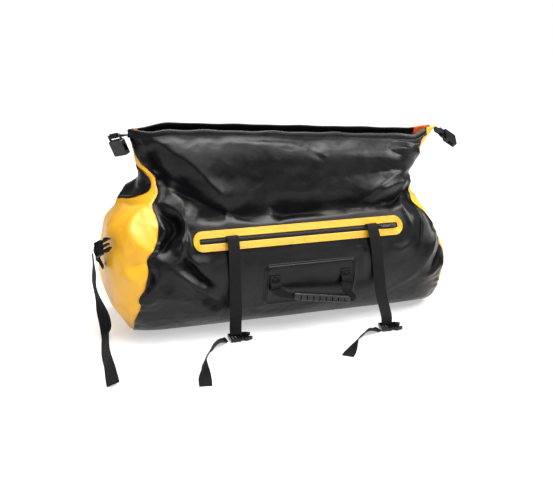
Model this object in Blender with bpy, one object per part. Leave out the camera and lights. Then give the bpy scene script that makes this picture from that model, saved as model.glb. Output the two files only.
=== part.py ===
"""Roll-top tail bag for a motorcycle: a welded tarpaulin duffel that lies on its side.

X runs along the bag (left end at -X), the front with the pocket zip and the
carry handle faces -Y, and +Z is up. The origin is the middle of the flat base.
All sizes are in metres.
"""

import math

import bmesh
import bpy
import numpy as np
from mathutils import Matrix, Vector

# ----------------------------------------------------------------- dimensions
BODY_R = 0.150            # radius of the barrel
BODY_ZC = 0.143           # height of the barrel's axis; the base is pressed flat
LIP_Z = 0.414             # height of the open mouth at mid length
LIP_HALF = 0.015          # half the gap between the two lips
TARP = 0.0010             # tarpaulin thickness, welds included
GAP = 0.0006              # half the clearance left along a seam

SEAM_X = 0.300            # where the end panels are welded on
FOLD_Z = 0.338            # the mouth folds over about this level
HEM = 0.010               # height of the stiff strip along each lip
HEM_T = 0.003

# half lengths of the bag against height, from the middle, at each end
LEFT_END = ((0.000, 0.358), (0.080, 0.399), (0.160, 0.407), (0.225, 0.398),
            (0.272, 0.364), (0.300, 0.328), (0.330, 0.323), (0.370, 0.331),
            (0.414, 0.340))
RIGHT_END = ((0.000, 0.356), (0.060, 0.360), (0.110, 0.361), (0.165, 0.346),
             (0.215, 0.319), (0.262, 0.290), (0.305, 0.284), (0.350, 0.309),
             (0.414, 0.358))

ZIP_Z0, ZIP_Z1 = 0.206, 0.218        # the slit that the zip closes
ZIP_X0, ZIP_X1 = -0.226, 0.208
BAND_Z0, BAND_Z1 = 0.1930, 0.2310    # the welded band round the zip
BAND_X0, BAND_X1 = -0.238, 0.220
BAND_T = 0.0016

PATCH_X0, PATCH_X1 = -0.096, 0.110   # the handle's base patch
PATCH_Z0, PATCH_Z1 = 0.060, 0.156
PATCH_T = 0.0018
PATCH_R = 0.016

WEB = 0.025               # webbing width
WEB_T = 0.0016            # webbing thickness

HANDLE_Z = 0.110          # the handle swings about this line
HANDLE_X0, HANDLE_X1 = -0.073, 0.084

ROWS = (0.0, 0.010, 0.030, 0.060, 0.098, 0.143, 0.180, ZIP_Z0, ZIP_Z1, 0.240,
        0.262, 0.285, 0.310, FOLD_Z - 0.002)
NECK_ROWS = (FOLD_Z, 0.354, 0.371, 0.388, LIP_Z - HEM - 0.0006)
HEM_ROWS = (LIP_Z - HEM, LIP_Z)
X_IN = (-0.250, BAND_X0, ZIP_X0, -0.165, -0.096, -0.035, 0.030, 0.110, 0.160,
        ZIP_X1, BAND_X1, 0.240)


# -------------------------------------------------------------------- helpers
def smooth(a, b, x):
    t = np.clip((np.asarray(x, float) - a) / (b - a), 0.0, 1.0)
    return t * t * (3 - 2 * t)


def curve(stations, z):
    """Monotone cubic through the stations (Fritsch-Carlson slopes)."""
    zs = np.array([s[0] for s in stations])
    xs = np.array([s[1] for s in stations])
    h = np.diff(zs)
    d = np.diff(xs) / h
    m = np.zeros_like(xs)
    m[0], m[-1] = d[0], d[-1]
    for i in range(1, len(xs) - 1):
        m[i] = 0.0 if d[i - 1] * d[i] <= 0 else 2 / (1 / d[i - 1] + 1 / d[i])
    z = np.clip(z, zs[0], zs[-1])
    i = int(np.clip(np.searchsorted(zs, z) - 1, 0, len(h) - 1))
    t = (z - zs[i]) / h[i]
    return ((2 * t ** 3 - 3 * t ** 2 + 1) * xs[i]
            + (t ** 3 - 2 * t ** 2 + t) * h[i] * m[i]
            + (-2 * t ** 3 + 3 * t ** 2) * xs[i + 1]
            + (t ** 3 - t ** 2) * h[i] * m[i + 1])


def half_depth(z):
    """Half the bag's depth: a circle, then the straight side of the neck."""
    ly, lz = LIP_HALF, LIP_Z - BODY_ZC
    dist = math.hypot(ly, lz)
    a = math.atan2(lz, ly) - math.acos(BODY_R / dist)
    ty, tz = BODY_R * math.cos(a), BODY_ZC + BODY_R * math.sin(a)
    if z <= tz:
        full = 0.0008 * math.exp(-((z - 0.095) / 0.025) ** 2)      # fuller low down
        return math.sqrt(max(BODY_R ** 2 - (z - BODY_ZC) ** 2, 0.0)) + full
    return ty + (LIP_HALF - ty) * (z - tz) / (LIP_Z - tz)


def power(z):
    """How square the bag's outline is at a level, seen from above."""
    return 13.0 - 9.6 * float(smooth(0.215, 0.320, z)) + 2.6 * float(smooth(0.345, 0.410, z))


def end_x(z, side):
    return curve(LEFT_END if side < 0 else RIGHT_END, z)


def seam_x(z, side, rear):
    """The seam between a side panel and an end panel."""
    x = end_x(z, side)
    low = min(SEAM_X, 0.90 * x)
    lift = smooth(0.228, 0.318, z) if (rear and side < 0) else smooth(0.250, 0.330, z)
    return float(low + (0.965 * x - low) * lift)


def settle(p):
    """The empty neck leans a little: it stands higher on the left."""
    x, y, z = p
    g = float(smooth(0.225, LIP_Z, z))
    dz = -0.068 * (x - 0.034)
    dz -= 0.013 * float(smooth(0.250, 0.335, -x))
    dz += 0.008 * float(smooth(0.290, 0.350, x))
    bulge = 0.026 * float(smooth(0.250, 0.295, z) * smooth(0.345, 0.300, z))
    x -= bulge * float(smooth(0.0, 0.050, y) * smooth(0.20, 0.33, -x))
    return (x, y, z + dz * g)


def outline(x, z):
    """Front y of the bag at x on a level, before it settles."""
    big = end_x(z, -1 if x < 0 else 1)
    return -half_depth(z) * math.sqrt(max(1 - abs(x / big) ** power(z), 0.0))


def arc(z, side, x_from, y_sign_from, x_to, y_sign_to, n):
    """n points along the level's outline, evenly spaced by length."""
    big, w, p = end_x(z, side), half_depth(z), power(z)

    def angle(x, s):
        return s * math.acos(min(abs(x) / big, 1.0) ** (p / 2))

    a0, a1 = angle(x_from, y_sign_from), angle(x_to, y_sign_to)
    t = np.linspace(a0, a1, 400)
    xs = side * big * np.abs(np.cos(t)) ** (2 / p)
    ys = w * np.sin(t)
    s = np.concatenate([[0], np.cumsum(np.hypot(np.diff(xs), np.diff(ys)))])
    at = np.linspace(0, s[-1], n)
    return [(float(np.interp(q, s, xs)), float(np.interp(q, s, ys)), z) for q in at]


def panel_row(z, rear, trim=GAP):
    """One level of the front or rear panel, from the left seam to the right."""
    sgn = 1 if rear else -1
    left = arc(z, -1, -(seam_x(z, -1, rear) - trim), sgn, X_IN[0], sgn, 4)[:-1]
    right = arc(z, 1, X_IN[-1], sgn, seam_x(z, 1, rear) - trim, sgn, 4)[1:]
    mid = [(x, -sgn * outline(x, z), z) for x in X_IN]
    return [settle(p) for p in left + mid + right]


def end_row(z, side, n, trim=GAP):
    """One level of an end panel, from its front seam to its rear seam."""
    f = seam_x(z, side, False) + trim
    r = seam_x(z, side, True) + trim
    return [settle(p) for p in arc(z, side, f, -1, r, 1, n)]


# ------------------------------------------------------------------ materials
def material(name, colour, rough, metal=0.0):
    m = bpy.data.materials.new(name)
    m.use_nodes = True
    b = m.node_tree.nodes["Principled BSDF"]
    b.inputs["Base Color"].default_value = (*colour, 1)
    b.inputs["Roughness"].default_value = rough
    b.inputs["Metallic"].default_value = metal
    m.diffuse_color = (*colour, 1)
    return m


BLACK = (0.012, 0.012, 0.013)
YELLOW = (0.92, 0.50, 0.02)
WEBBING = (0.010, 0.010, 0.011)
PLASTIC = (0.016, 0.016, 0.018)


def add(name, mesh, colour, rough=0.5, metal=0.0, origin=None):
    ob = bpy.data.objects.new(name, mesh)
    bpy.context.scene.collection.objects.link(ob)
    mesh.materials.clear()
    mesh.materials.append(material(name + "_finish", colour, rough, metal))
    if origin is not None:
        o = Vector(origin)
        mesh.transform(Matrix.Translation(-o))
        ob.location = o
    return ob


# ------------------------------------------------------------- mesh builders
def grid_normals(p):
    p = np.asarray(p)
    du = np.gradient(p, axis=1)
    dv = np.gradient(p, axis=0)
    n = np.cross(du, dv)
    return n / np.maximum(np.linalg.norm(n, axis=2, keepdims=True), 1e-12)


def sheet(rows, t, flip=False, holes=(), out=0.0):
    """A closed shell: the grid is its outer face, the other lies t inside.

    holes lists cells (row, column) left open, which turns the shell's edge
    round them. out moves the whole shell outwards.
    """
    p = np.asarray(rows, float)
    n = grid_normals(p) * (-1 if flip else 1)
    a, b = p + n * out, p + n * (out - t)
    h, w = p.shape[:2]
    bm = bmesh.new()
    va = [[bm.verts.new(a[i, j]) for j in range(w)] for i in range(h)]
    vb = [[bm.verts.new(b[i, j]) for j in range(w)] for i in range(h)]
    holes = set(holes)
    solid = {(i, j) for i in range(h - 1) for j in range(w - 1)} - holes
    for i, j in solid:
        for v, rev in ((va, flip), (vb, not flip)):
            q = [v[i][j], v[i][j + 1], v[i + 1][j + 1], v[i + 1][j]]
            bm.faces.new(q[::-1] if rev else q)
        for (di, dj), (e0, e1) in (((-1, 0), ((i, j), (i, j + 1))),
                                   ((1, 0), ((i + 1, j + 1), (i + 1, j))),
                                   ((0, -1), ((i + 1, j), (i, j))),
                                   ((0, 1), ((i, j + 1), (i + 1, j + 1)))):
            if (i + di, j + dj) in solid:
                continue
            q = [va[e0[0]][e0[1]], vb[e0[0]][e0[1]], vb[e1[0]][e1[1]], va[e1[0]][e1[1]]]
            bm.faces.new(q[::-1] if flip else q)
    loose = [v for v in bm.verts if not v.link_faces]
    bmesh.ops.delete(bm, geom=loose, context="VERTS")
    bmesh.ops.recalc_face_normals(bm, faces=bm.faces)
    me = bpy.data.meshes.new("sheet")
    bm.to_mesh(me)
    bm.free()
    return me


def sweep(path, across, width, thick):
    """Flat webbing: a rectangle carried along path, its width along across."""
    p = np.asarray(path, float)
    t = np.gradient(p, axis=0)
    t /= np.linalg.norm(t, axis=1, keepdims=True)
    a = np.broadcast_to(np.asarray(across, float), p.shape).copy()
    a -= t * np.sum(a * t, axis=1, keepdims=True)
    a /= np.linalg.norm(a, axis=1, keepdims=True)
    n = np.cross(t, a)
    wv = np.broadcast_to(np.asarray(width, float), (len(p),)).reshape(-1, 1) / 2
    bm = bmesh.new()
    rings = []
    for i in range(len(p)):
        rings.append([bm.verts.new(p[i] + a[i] * wv[i] * s + n[i] * thick / 2 * k)
                      for s, k in ((-1, -1), (1, -1), (1, 1), (-1, 1))])
    for r0, r1 in zip(rings, rings[1:]):
        for k in range(4):
            bm.faces.new([r0[k], r0[(k + 1) % 4], r1[(k + 1) % 4], r1[k]])
    bm.faces.new(rings[0][::-1])
    bm.faces.new(rings[-1])
    bmesh.ops.recalc_face_normals(bm, faces=bm.faces)
    me = bpy.data.meshes.new("webbing")
    bm.to_mesh(me)
    bm.free()
    return me


def flow(points, n):
    """A smooth curve through a few points (centripetal Catmull-Rom)."""
    p = [np.asarray(q, float) for q in points]
    p = [2 * p[0] - p[1]] + p + [2 * p[-1] - p[-2]]
    out = []
    for i in range(1, len(p) - 2):
        for s in np.linspace(0, 1, 24, endpoint=False):
            a, b, c, d = p[i - 1], p[i], p[i + 1], p[i + 2]
            out.append(0.5 * (2 * b + (c - a) * s + (2 * a - 5 * b + 4 * c - d) * s * s
                              + (3 * b - a - 3 * c + d) * s ** 3))
    out.append(p[-2])
    out = np.array(out)
    s = np.concatenate([[0], np.cumsum(np.linalg.norm(np.diff(out, axis=0), axis=1))])
    at = np.linspace(0, s[-1], n)
    return np.stack([np.interp(at, s, out[:, k]) for k in range(3)], 1)


def prism(pts, z0, z1):
    """A flat outline (counter-clockwise) extruded from z0 to z1."""
    bm = bmesh.new()
    lo = [bm.verts.new((x, y, z0)) for x, y in pts]
    hi = [bm.verts.new((x, y, z1)) for x, y in pts]
    bm.faces.new(lo[::-1])
    bm.faces.new(hi)
    for i in range(len(pts)):
        j = (i + 1) % len(pts)
        bm.faces.new([lo[i], lo[j], hi[j], hi[i]])
    bmesh.ops.recalc_face_normals(bm, faces=bm.faces)
    me = bpy.data.meshes.new("prism")
    bm.to_mesh(me)
    bm.free()
    return me


def rect(x0, y0, x1, y1, r=0.0, n=3):
    if r <= 0:
        return [(x0, y0), (x1, y0), (x1, y1), (x0, y1)]
    out = []
    for cx, cy, a in ((x1 - r, y0 + r, -90), (x1 - r, y1 - r, 0),
                      (x0 + r, y1 - r, 90), (x0 + r, y0 + r, 180)):
        for k in range(n + 1):
            t = math.radians(a + 90 * k / n)
            out.append((cx + r * math.cos(t), cy + r * math.sin(t)))
    return out


def combine(base, steps):
    """Exact Booleans, evaluated: steps lists (operation, mesh)."""
    ob = bpy.data.objects.new("work", base)
    bpy.context.scene.collection.objects.link(ob)
    tools = []
    for op, me in steps:
        c = bpy.data.objects.new("tool", me)
        bpy.context.scene.collection.objects.link(c)
        m = ob.modifiers.new("cut", "BOOLEAN")
        m.operation, m.object, m.solver = op, c, "EXACT"
        tools.append(c)
    bpy.context.view_layer.update()
    dg = bpy.context.evaluated_depsgraph_get()
    me = bpy.data.meshes.new_from_object(ob.evaluated_get(dg))
    for c in tools + [ob]:
        bpy.data.objects.remove(c, do_unlink=True)
    return me


def frame_at(origin, along, across):
    """A local frame: X along, Y across, Z the thickness."""
    x = Vector(along).normalized()
    y = Vector(across)
    y = (y - x * y.dot(x)).normalized()
    z = x.cross(y)
    m = Matrix((x, y, z)).transposed().to_4x4()
    m.translation = Vector(origin)
    return m


# --------------------------------------------------------- buckles and tabs
def female_buckle():
    """Side-release socket: bar at x = 0, open end at x = 0.042."""
    body = prism(rect(0.009, -0.0175, 0.042, 0.0175, 0.003), -0.006, 0.006)
    plate = prism(rect(-0.0026, -0.0170, 0.012, 0.0170, 0.002), -0.0018, 0.0018)
    slot = prism(rect(0.0020, -0.0135, 0.0080, 0.0135), -0.01, 0.01)
    mouth = prism(rect(0.014, -0.0130, 0.050, 0.0130), -0.0036, 0.0036)
    side_a = prism(rect(0.020, 0.0110, 0.034, 0.0250), -0.0036, 0.0036)
    side_b = prism(rect(0.020, -0.0250, 0.034, -0.0110), -0.0036, 0.0036)
    return combine(body, [("UNION", plate), ("DIFFERENCE", slot), ("DIFFERENCE", mouth),
                          ("DIFFERENCE", side_a), ("DIFFERENCE", side_b)])


def male_outline():
    """Plug outline: frame at the webbing side, two sprung arms, a middle guide."""
    half = [(-0.0040, 0.0155), (0.0160, 0.0155), (0.0195, 0.0120), (0.0250, 0.0118),
            (0.0250, 0.0148), (0.0320, 0.0152), (0.0430, 0.0105), (0.0430, 0.0082),
            (0.0170, 0.0082), (0.0170, 0.0022), (0.0380, 0.0016)]
    return (half + [(x, -y) for x, y in reversed(half)])[::-1]


def male_buckle(t=0.0034):
    body = prism(male_outline(), -t, t)
    s1 = prism(rect(-0.0008, -0.0130, 0.0026, 0.0130), -0.01, 0.01)
    s2 = prism(rect(0.0060, -0.0130, 0.0094, 0.0130), -0.01, 0.01)
    return combine(body, [("DIFFERENCE", s1), ("DIFFERENCE", s2)])


def ladder_lock():
    """Flat adjuster with two slots, x from -0.010 to 0.012."""
    body = prism(rect(-0.0100, -0.0160, 0.0120, 0.0160, 0.003), -0.0022, 0.0022)
    s1 = prism(rect(-0.0062, -0.0132, -0.0026, 0.0132), -0.01, 0.01)
    s2 = prism(rect(0.0042, -0.0132, 0.0078, 0.0132), -0.01, 0.01)
    return combine(body, [("DIFFERENCE", s1), ("DIFFERENCE", s2)])


def loop_tab(length, width=WEB - 0.002):
    """Webbing folded round a bar at x = 0 and stitched flat towards -x.

    The outline lies in the x-z plane and the webbing's width runs along y.
    """
    outer = [(-length, -0.0016), (-0.008, -0.0018)]
    for k in range(9):
        a = math.radians(-90 + 22.5 * k)
        outer.append((0.0050 * math.cos(a), 0.0053 * math.sin(a)))
    outer += [(-0.008, 0.0018), (-length, 0.0016)]
    hole = []
    for k in range(10):
        a = math.radians(36 * k)
        hole.append((-0.0006 + 0.0040 * math.cos(a), 0.0037 * math.sin(a)))
    w = width / 2
    me = combine(prism(outer, -w, w), [("DIFFERENCE", prism(hole, -0.05, 0.05))])
    # the outline's y is the thickness: stand the prism's height along y
    me.transform(Matrix(((1, 0, 0, 0), (0, 0, 1, 0), (0, 1, 0, 0), (0, 0, 0, 1))))
    bm = bmesh.new()
    bm.from_mesh(me)
    bmesh.ops.recalc_face_normals(bm, faces=bm.faces)
    bm.to_mesh(me)
    bm.free()
    return me


def placed(mesh, m):
    mesh.transform(m)
    return mesh


# ---------------------------------------------------------------- the panels
def facet_y(x, z):
    """Front y of the front panel's own facets at x and level z."""
    zs = list(ROWS) + list(NECK_ROWS)
    i = max(k for k in range(len(zs) - 1) if zs[k] <= z + 1e-9)
    t = (z - zs[i]) / (zs[i + 1] - zs[i])
    xs = list(X_IN)
    j = max(k for k in range(len(xs) - 1) if xs[k] <= x + 1e-9) if x < xs[-1] else len(xs) - 2
    u = (x - xs[j]) / (xs[j + 1] - xs[j])
    y = [[outline(xs[j + b], zs[i + a]) for b in (0, 1)] for a in (0, 1)]
    lo = y[0][0] + (y[0][1] - y[0][0]) * u
    hi = y[1][0] + (y[1][1] - y[1][0]) * u
    return lo + (hi - lo) * t


def build_panels():
    col0 = 3 + X_IN.index(ZIP_X0)
    col1 = 3 + X_IN.index(ZIP_X1)
    row = ROWS.index(ZIP_Z0)
    slit = [(row, j) for j in range(col0, col1)]
    front = [panel_row(z, False) for z in ROWS]
    add("front_panel", sheet(front, TARP, holes=slit), BLACK, 0.38)
    rear = [panel_row(z, True) for z in ROWS]
    add("rear_panel", sheet(rear, TARP, flip=True), BLACK, 0.38)
    for side, name in ((-1, "left"), (1, "right")):
        rows = [end_row(z, side, 11) for z in ROWS]
        add("end_panel_" + name, sheet(rows, TARP, flip=side < 0), YELLOW, 0.36)
        rows = [end_row(z, side, 7, GAP + 0.0002) for z in NECK_ROWS]
        add("gusset_" + name, sheet(rows, 0.0010, flip=side < 0), YELLOW, 0.36)
    add("neck_front", sheet([panel_row(z, False) for z in NECK_ROWS], 0.0010), BLACK, 0.38)
    add("neck_rear", sheet([panel_row(z, True) for z in NECK_ROWS], 0.0010, flip=True),
        BLACK, 0.38)
    for rear, name in ((False, "front"), (True, "rear")):
        rows = [panel_row(z, rear, 0.004) for z in HEM_ROWS]
        add("mouth_strip_" + name, sheet(rows, HEM_T, flip=rear), BLACK, 0.25)


def build_base():
    """The flat base, its edge just inside the panels' lower edge."""
    inset = 0.008
    xs = [-(end_x(0, -1) - inset), -0.346, -0.337, -0.318, -0.290] + list(X_IN) \
        + [0.280, 0.310, 0.330, 0.342, end_x(0, 1) - inset]
    rows = []
    for x in xs:
        big = end_x(0, -1 if x < 0 else 1)
        y = max(-outline(x * big / (big - 0.0065), 0.0) - 0.0040, 0.006)
        rows.append([(x, s * y, 0.0) for s in (-1, -0.33, 0.33, 1)])
    add("base_panel", sheet(rows, TARP), BLACK, 0.45)


def build_zip():
    zs = [BAND_Z0, ZIP_Z0, ZIP_Z1, BAND_Z1]
    xs = [x for x in X_IN if BAND_X0 <= x <= BAND_X1]
    rows = []
    for z in zs:
        r = []
        for x in xs:
            zz, xx = z, x
            if x in (BAND_X0, BAND_X1):
                # rounded ends of the band
                if z == BAND_Z0:
                    zz, xx = z + 0.0050, x + (0.0040 if x < 0 else -0.0040)
                if z == BAND_Z1:
                    zz, xx = z - 0.0050, x + (0.0040 if x < 0 else -0.0040)
            r.append((xx, facet_y(xx, zz), zz))
        rows.append(r)
    n = len(xs)
    holes = [(1, j) for j in range(1, n - 2)]
    add("zip_surround", sheet(rows, BAND_T, holes=holes, out=0.0003 + BAND_T), YELLOW, 0.4)

    xs = [ZIP_X0 + 0.0004] + [x for x in X_IN if ZIP_X0 < x < ZIP_X1] + [ZIP_X1 - 0.0004]
    rows = [[(x, facet_y(x, z), z) for x in xs]
            for z in (ZIP_Z0 + 0.0004, (ZIP_Z0 + ZIP_Z1) / 2, ZIP_Z1 - 0.0004)]
    add("zip_coil", sheet(rows, 0.0020, out=0.0008), PLASTIC, 0.45)

    # slider: a bridge-shaped body that rides just clear of the coil
    zc, xc = (ZIP_Z0 + ZIP_Z1) / 2, 0.196
    y0 = facet_y(0.0, zc) - 0.0008 - 0.0006
    tilt = math.atan2(facet_y(0, ZIP_Z1) - facet_y(0, ZIP_Z0), ZIP_Z1 - ZIP_Z0)
    m = frame_at((xc, y0, zc), (1, 0, 0), (0, math.sin(tilt), math.cos(tilt)))
    # local: x along the zip, y up the panel, z away from the bag
    low = prism([(-0.0065, -0.0030), (-0.0035, -0.0046), (0.0040, -0.0046), (0.0065, -0.0034),
                 (0.0065, 0.0034), (0.0040, 0.0046), (-0.0035, 0.0046), (-0.0065, 0.0030)],
                0.0, 0.0022)
    bridge = combine(prism(rect(-0.0045, -0.0014, 0.0045, 0.0014), 0.0015, 0.0062),
                     [("DIFFERENCE", prism(rect(-0.0028, -0.01, 0.0028, 0.01), 0.0028, 0.0050))])
    add("zip_slider", placed(combine(low, [("UNION", bridge)]), m), (0.35, 0.36, 0.38), 0.3, 0.9,
        origin=(xc, y0, zc))
    # pull: its cross bar sits under the bridge and it lies along the coil
    eye = m @ Vector((0, 0, 0.0039))
    tab = combine(prism(rect(-0.0270, -0.0030, 0.0008, 0.0030), -0.0006, 0.0006),
                  [("DIFFERENCE", prism(rect(-0.0058, -0.0019, -0.0008, 0.0019), -0.01, 0.01))])
    mp = m.copy()
    mp.translation = eye
    add("zip_pull", placed(tab, mp), (0.30, 0.31, 0.33), 0.35, 0.9, origin=tuple(eye))

    # pouch behind the zip: one sheet welded to the panel's inner face all round
    xs = [-0.238] + [x for x in X_IN if -0.238 < x < 0.222] + [0.222]
    zs = [0.075] + [z for z in ROWS if 0.080 < z < 0.222] + [0.2285]
    rows = []
    for i, z in enumerate(zs):
        r = []
        for j, x in enumerate(xs):
            inner = 0 < i < len(zs) - 1 and 0 < j < len(xs) - 1
            d = TARP + 0.0005 + (0.0135 if inner else 0.0)
            r.append((x, facet_y(x, z) + d, z))
        rows.append(r)
    add("pocket_pouch", sheet(rows, 0.0010), (0.03, 0.03, 0.032), 0.5)


def build_handle():
    zs = [PATCH_Z0, PATCH_Z0 + 0.006] + [z for z in ROWS if PATCH_Z0 + 0.008 < z < PATCH_Z1 - 0.008] \
        + [PATCH_Z1 - 0.006, PATCH_Z1]
    if 0.098 not in zs:
        zs.append(0.098)
    zs = sorted(set(zs))
    inner = [x for x in X_IN if PATCH_X0 < x < PATCH_X1]
    rows = []
    for z in zs:
        d = min(z - PATCH_Z0, PATCH_Z1 - z)
        k = PATCH_R - math.sqrt(max(PATCH_R ** 2 - max(PATCH_R - d, 0.0) ** 2, 0.0))
        k *= 0.6
        xs = [PATCH_X0 + k] + inner + [PATCH_X1 - k]
        rows.append([(x, facet_y(x, z), z) for x in xs])
    add("handle_patch", sheet(rows, PATCH_T, out=0.0003 + PATCH_T), BLACK, 0.42)

    axis_y = facet_y(0, HANDLE_Z) - 0.0085
    for x, name in ((HANDLE_X0, "left"), (HANDLE_X1, "right")):
        # webbing pad stitched on the patch, with an eye that holds the handle
        ys = [facet_y(x, z) - 0.0003 - PATCH_T - 0.0003 for z in (0.094, 0.098, 0.124)]
        s = math.atan2(ys[2] - ys[1], 0.026)
        m = frame_at((x, ys[1] - 0.0001, 0.098), (0, math.sin(s), math.cos(s)), (1, 0, 0))
        pad = prism(rect(0.0030, -0.0125, 0.0340, 0.0125), -0.0016, 0.0)
        me = placed(pad, m)
        # the eye: a ring of webbing standing off the pad along the handle's axis
        ring = []
        for k in range(10):
            a = math.radians(36 * k)
            ring.append((0.0052 * math.cos(a), 0.0052 * math.sin(a)))
        bore = [(0.0034 / 0.0052 * a, 0.0034 / 0.0052 * b) for a, b in ring]
        mr = frame_at((x, axis_y + 0.0005, HANDLE_Z), (0, 1, 0), (0, 0, 1))
        eye = placed(combine(prism(ring, -0.0095, 0.0095),
                             [("DIFFERENCE", prism(bore, -0.05, 0.05))]), mr)
        foot = prism(rect(-0.0040, -0.0030, 0.0006, 0.0030), -0.0090, 0.0090)
        mf = frame_at((x, axis_y + 0.0050, HANDLE_Z), (0, 1, 0), (0, 0, 1))
        foot = placed(foot, mf)
        bore2 = placed(prism(bore, -0.05, 0.05), mr)
        add("handle_anchor_" + name,
            combine(me, [("UNION", foot), ("UNION", eye), ("DIFFERENCE", bore2)]),
            WEBBING, 0.8)

    # handle webbing: a pin-like roll through each eye, legs down to the grip
    gy = axis_y - 0.0105

    def gz(x):
        # the grip hangs lower on the right
        return 0.0900 - 0.165 * (x + 0.0435)

    left = (HANDLE_X0, axis_y + 0.0005, HANDLE_Z)
    right = (HANDLE_X1, axis_y + 0.0005, HANDLE_Z)
    parts = []
    for (ax, ay, az), gx, bend, drop in ((left, -0.051, 0.45, 0.003), (right, 0.103, 0.75, 0.0)):
        roll = []
        for k in range(10):
            a = math.radians(36 * k)
            roll.append((0.0028 * math.cos(a), 0.0028 * math.sin(a)))
        mr = frame_at((ax, ay, az), (0, 1, 0), (0, 0, 1))
        parts.append(placed(prism(roll, -0.0125, 0.0125), mr))
        for s in (-1, 1):
            leg = flow([(ax + s * 0.0112, ay + 0.0, az + 0.0012),
                        (ax + s * 0.0115, ay - 0.0040, az - 0.0072),
                        (ax + s * 0.0090 + (gx - ax) * bend, gy + 0.003, (az + gz(gx)) / 2 - drop),
                        (gx + s * 0.0045, gy, gz(gx) + 0.0020)], 6)
            parts.append(sweep(leg, (1, 0, 0), 0.0026, 0.0026))
    bar = flow([(-0.0590, gy, gz(-0.059) + 0.001), (-0.040, gy, gz(-0.040)),
                (0.025, gy - 0.001, gz(0.025) - 0.002), (0.092, gy, gz(0.092)),
                (0.111, gy, gz(0.111) + 0.001)], 12)
    strap = sweep(bar, (0, 0, 1), 0.0100, 0.0024)
    strap = combine(strap, [("UNION", p) for p in parts])
    add("handle_strap", strap, WEBBING, 0.8, origin=(0.0, axis_y + 0.0005, HANDLE_Z))

    # moulded grip: a round-cornered sleeve over the bar, notched underneath
    n = 22
    xs = np.linspace(-0.036, 0.087, n)
    bm = bmesh.new()
    outer, inner = [], []
    for i, x in enumerate(xs):
        cy = float(np.interp(x, bar[:, 0], bar[:, 1]))
        cz = float(np.interp(x, bar[:, 0], bar[:, 2]))
        rib = 0.0014 if i % 3 == 2 and 1 < i < n - 2 else 0.0
        o = rect(-0.0075, -0.0090 + rib, 0.0075, 0.0085, 0.0045, 2)
        q = rect(-0.0019, -0.0058, 0.0019, 0.0058)
        outer.append([bm.verts.new((x, cy + a, cz + b)) for a, b in o])
        inner.append([bm.verts.new((x, cy + a, cz + b)) for a, b in q])
    for ringset in (outer, inner):
        for r0, r1 in zip(ringset, ringset[1:]):
            k = len(r0)
            for a in range(k):
                bm.faces.new([r0[a], r0[(a + 1) % k], r1[(a + 1) % k], r1[a]])
    for o, q in ((outer[0], inner[0]), (outer[-1], inner[-1])):
        edges = []
        for ring in (o, q):
            for a in range(len(ring)):
                e = bm.edges.get((ring[a], ring[(a + 1) % len(ring)]))
                edges.append(e)
        bmesh.ops.triangle_fill(bm, use_beauty=True, edges=edges)
    bmesh.ops.recalc_face_normals(bm, faces=bm.faces)
    me = bpy.data.meshes.new("grip")
    bm.to_mesh(me)
    bm.free()
    add("handle_grip", me, PLASTIC, 0.55, origin=(0.0, axis_y + 0.0005, HANDLE_Z))


# ------------------------------------------------------------ straps, buckles
FRONT_STRAPS = (
    # name, top x, buckle (x, y), buckle heading, y added half way down, tail on the ground
    ("left", -0.1590, (-0.1580, -0.1500), (1.0, 0.02), (-0.1545, -0.1545),
     ((-0.1780, -0.1500), (-0.1890, -0.1530), (-0.2050, -0.1830), (-0.2300, -0.2230),
      (-0.2545, -0.2750), (-0.2690, -0.3490))),
    ("right", 0.1460, (0.1630, -0.1920), (1.0, -0.12), (-0.1560, -0.1660),
     ((0.1445, -0.1935), (0.1330, -0.1960), (0.1190, -0.2060), (0.1010, -0.2220),
      (0.0580, -0.2690), (0.0300, -0.3020))),
)


def build_front_straps():
    for name, xt, (xb, yb), head, (ym, yl), tail in FRONT_STRAPS:
        ys = facet_y(xt, 0.2200)
        top = (xt, ys - BAND_T - 0.0050, 0.2198)
        # sewn to the band just above the zip, then out over the slider's path
        rout = [(xt, ys - BAND_T - 0.0016, 0.2197), (xt, ys - BAND_T - 0.0075, 0.2199),
                (xt, -0.1442, 0.2175), (xt, -0.1478, 0.2090),
                (xt + (xb - xt) * 0.2, -0.1525, 0.188), (xt + (xb - xt) * 0.6, ym, 0.135),
                (xt + (xb - xt) * 0.9, yl, 0.070), (xb, yb + 0.002, 0.030), (xb, yb, 0.0118)]
        add("front_strap_" + name, sweep(flow(rout, 20), (1, 0, 0), WEB, WEB_T), WEBBING, 0.85,
            origin=top)
        # the plug at the strap's end lies on the ground
        h = Vector((head[0], head[1], 0)).normalized()
        m = frame_at(Vector((xb, yb, 0.0058)) - h * 0.0100, h, (0, -1, -0.06))
        add("front_buckle_" + name, placed(male_buckle(), m), PLASTIC, 0.45,
            origin=(xb, yb, 0.0058))
        pts = [(x, y, 0.0016) for x, y in tail]
        pts[0] = (tail[0][0], tail[0][1], 0.0040)
        path = flow(pts, 16)
        path[:, 2] = np.maximum(path[:, 2], 0.0014)
        t = np.gradient(path, axis=0)
        across = np.stack([-t[:, 1], t[:, 0], np.zeros(len(t))], 1)
        add("front_tail_" + name, sweep(path, across, WEB, WEB_T), WEBBING, 0.85,
            origin=(xb, yb, 0.0058))


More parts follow.
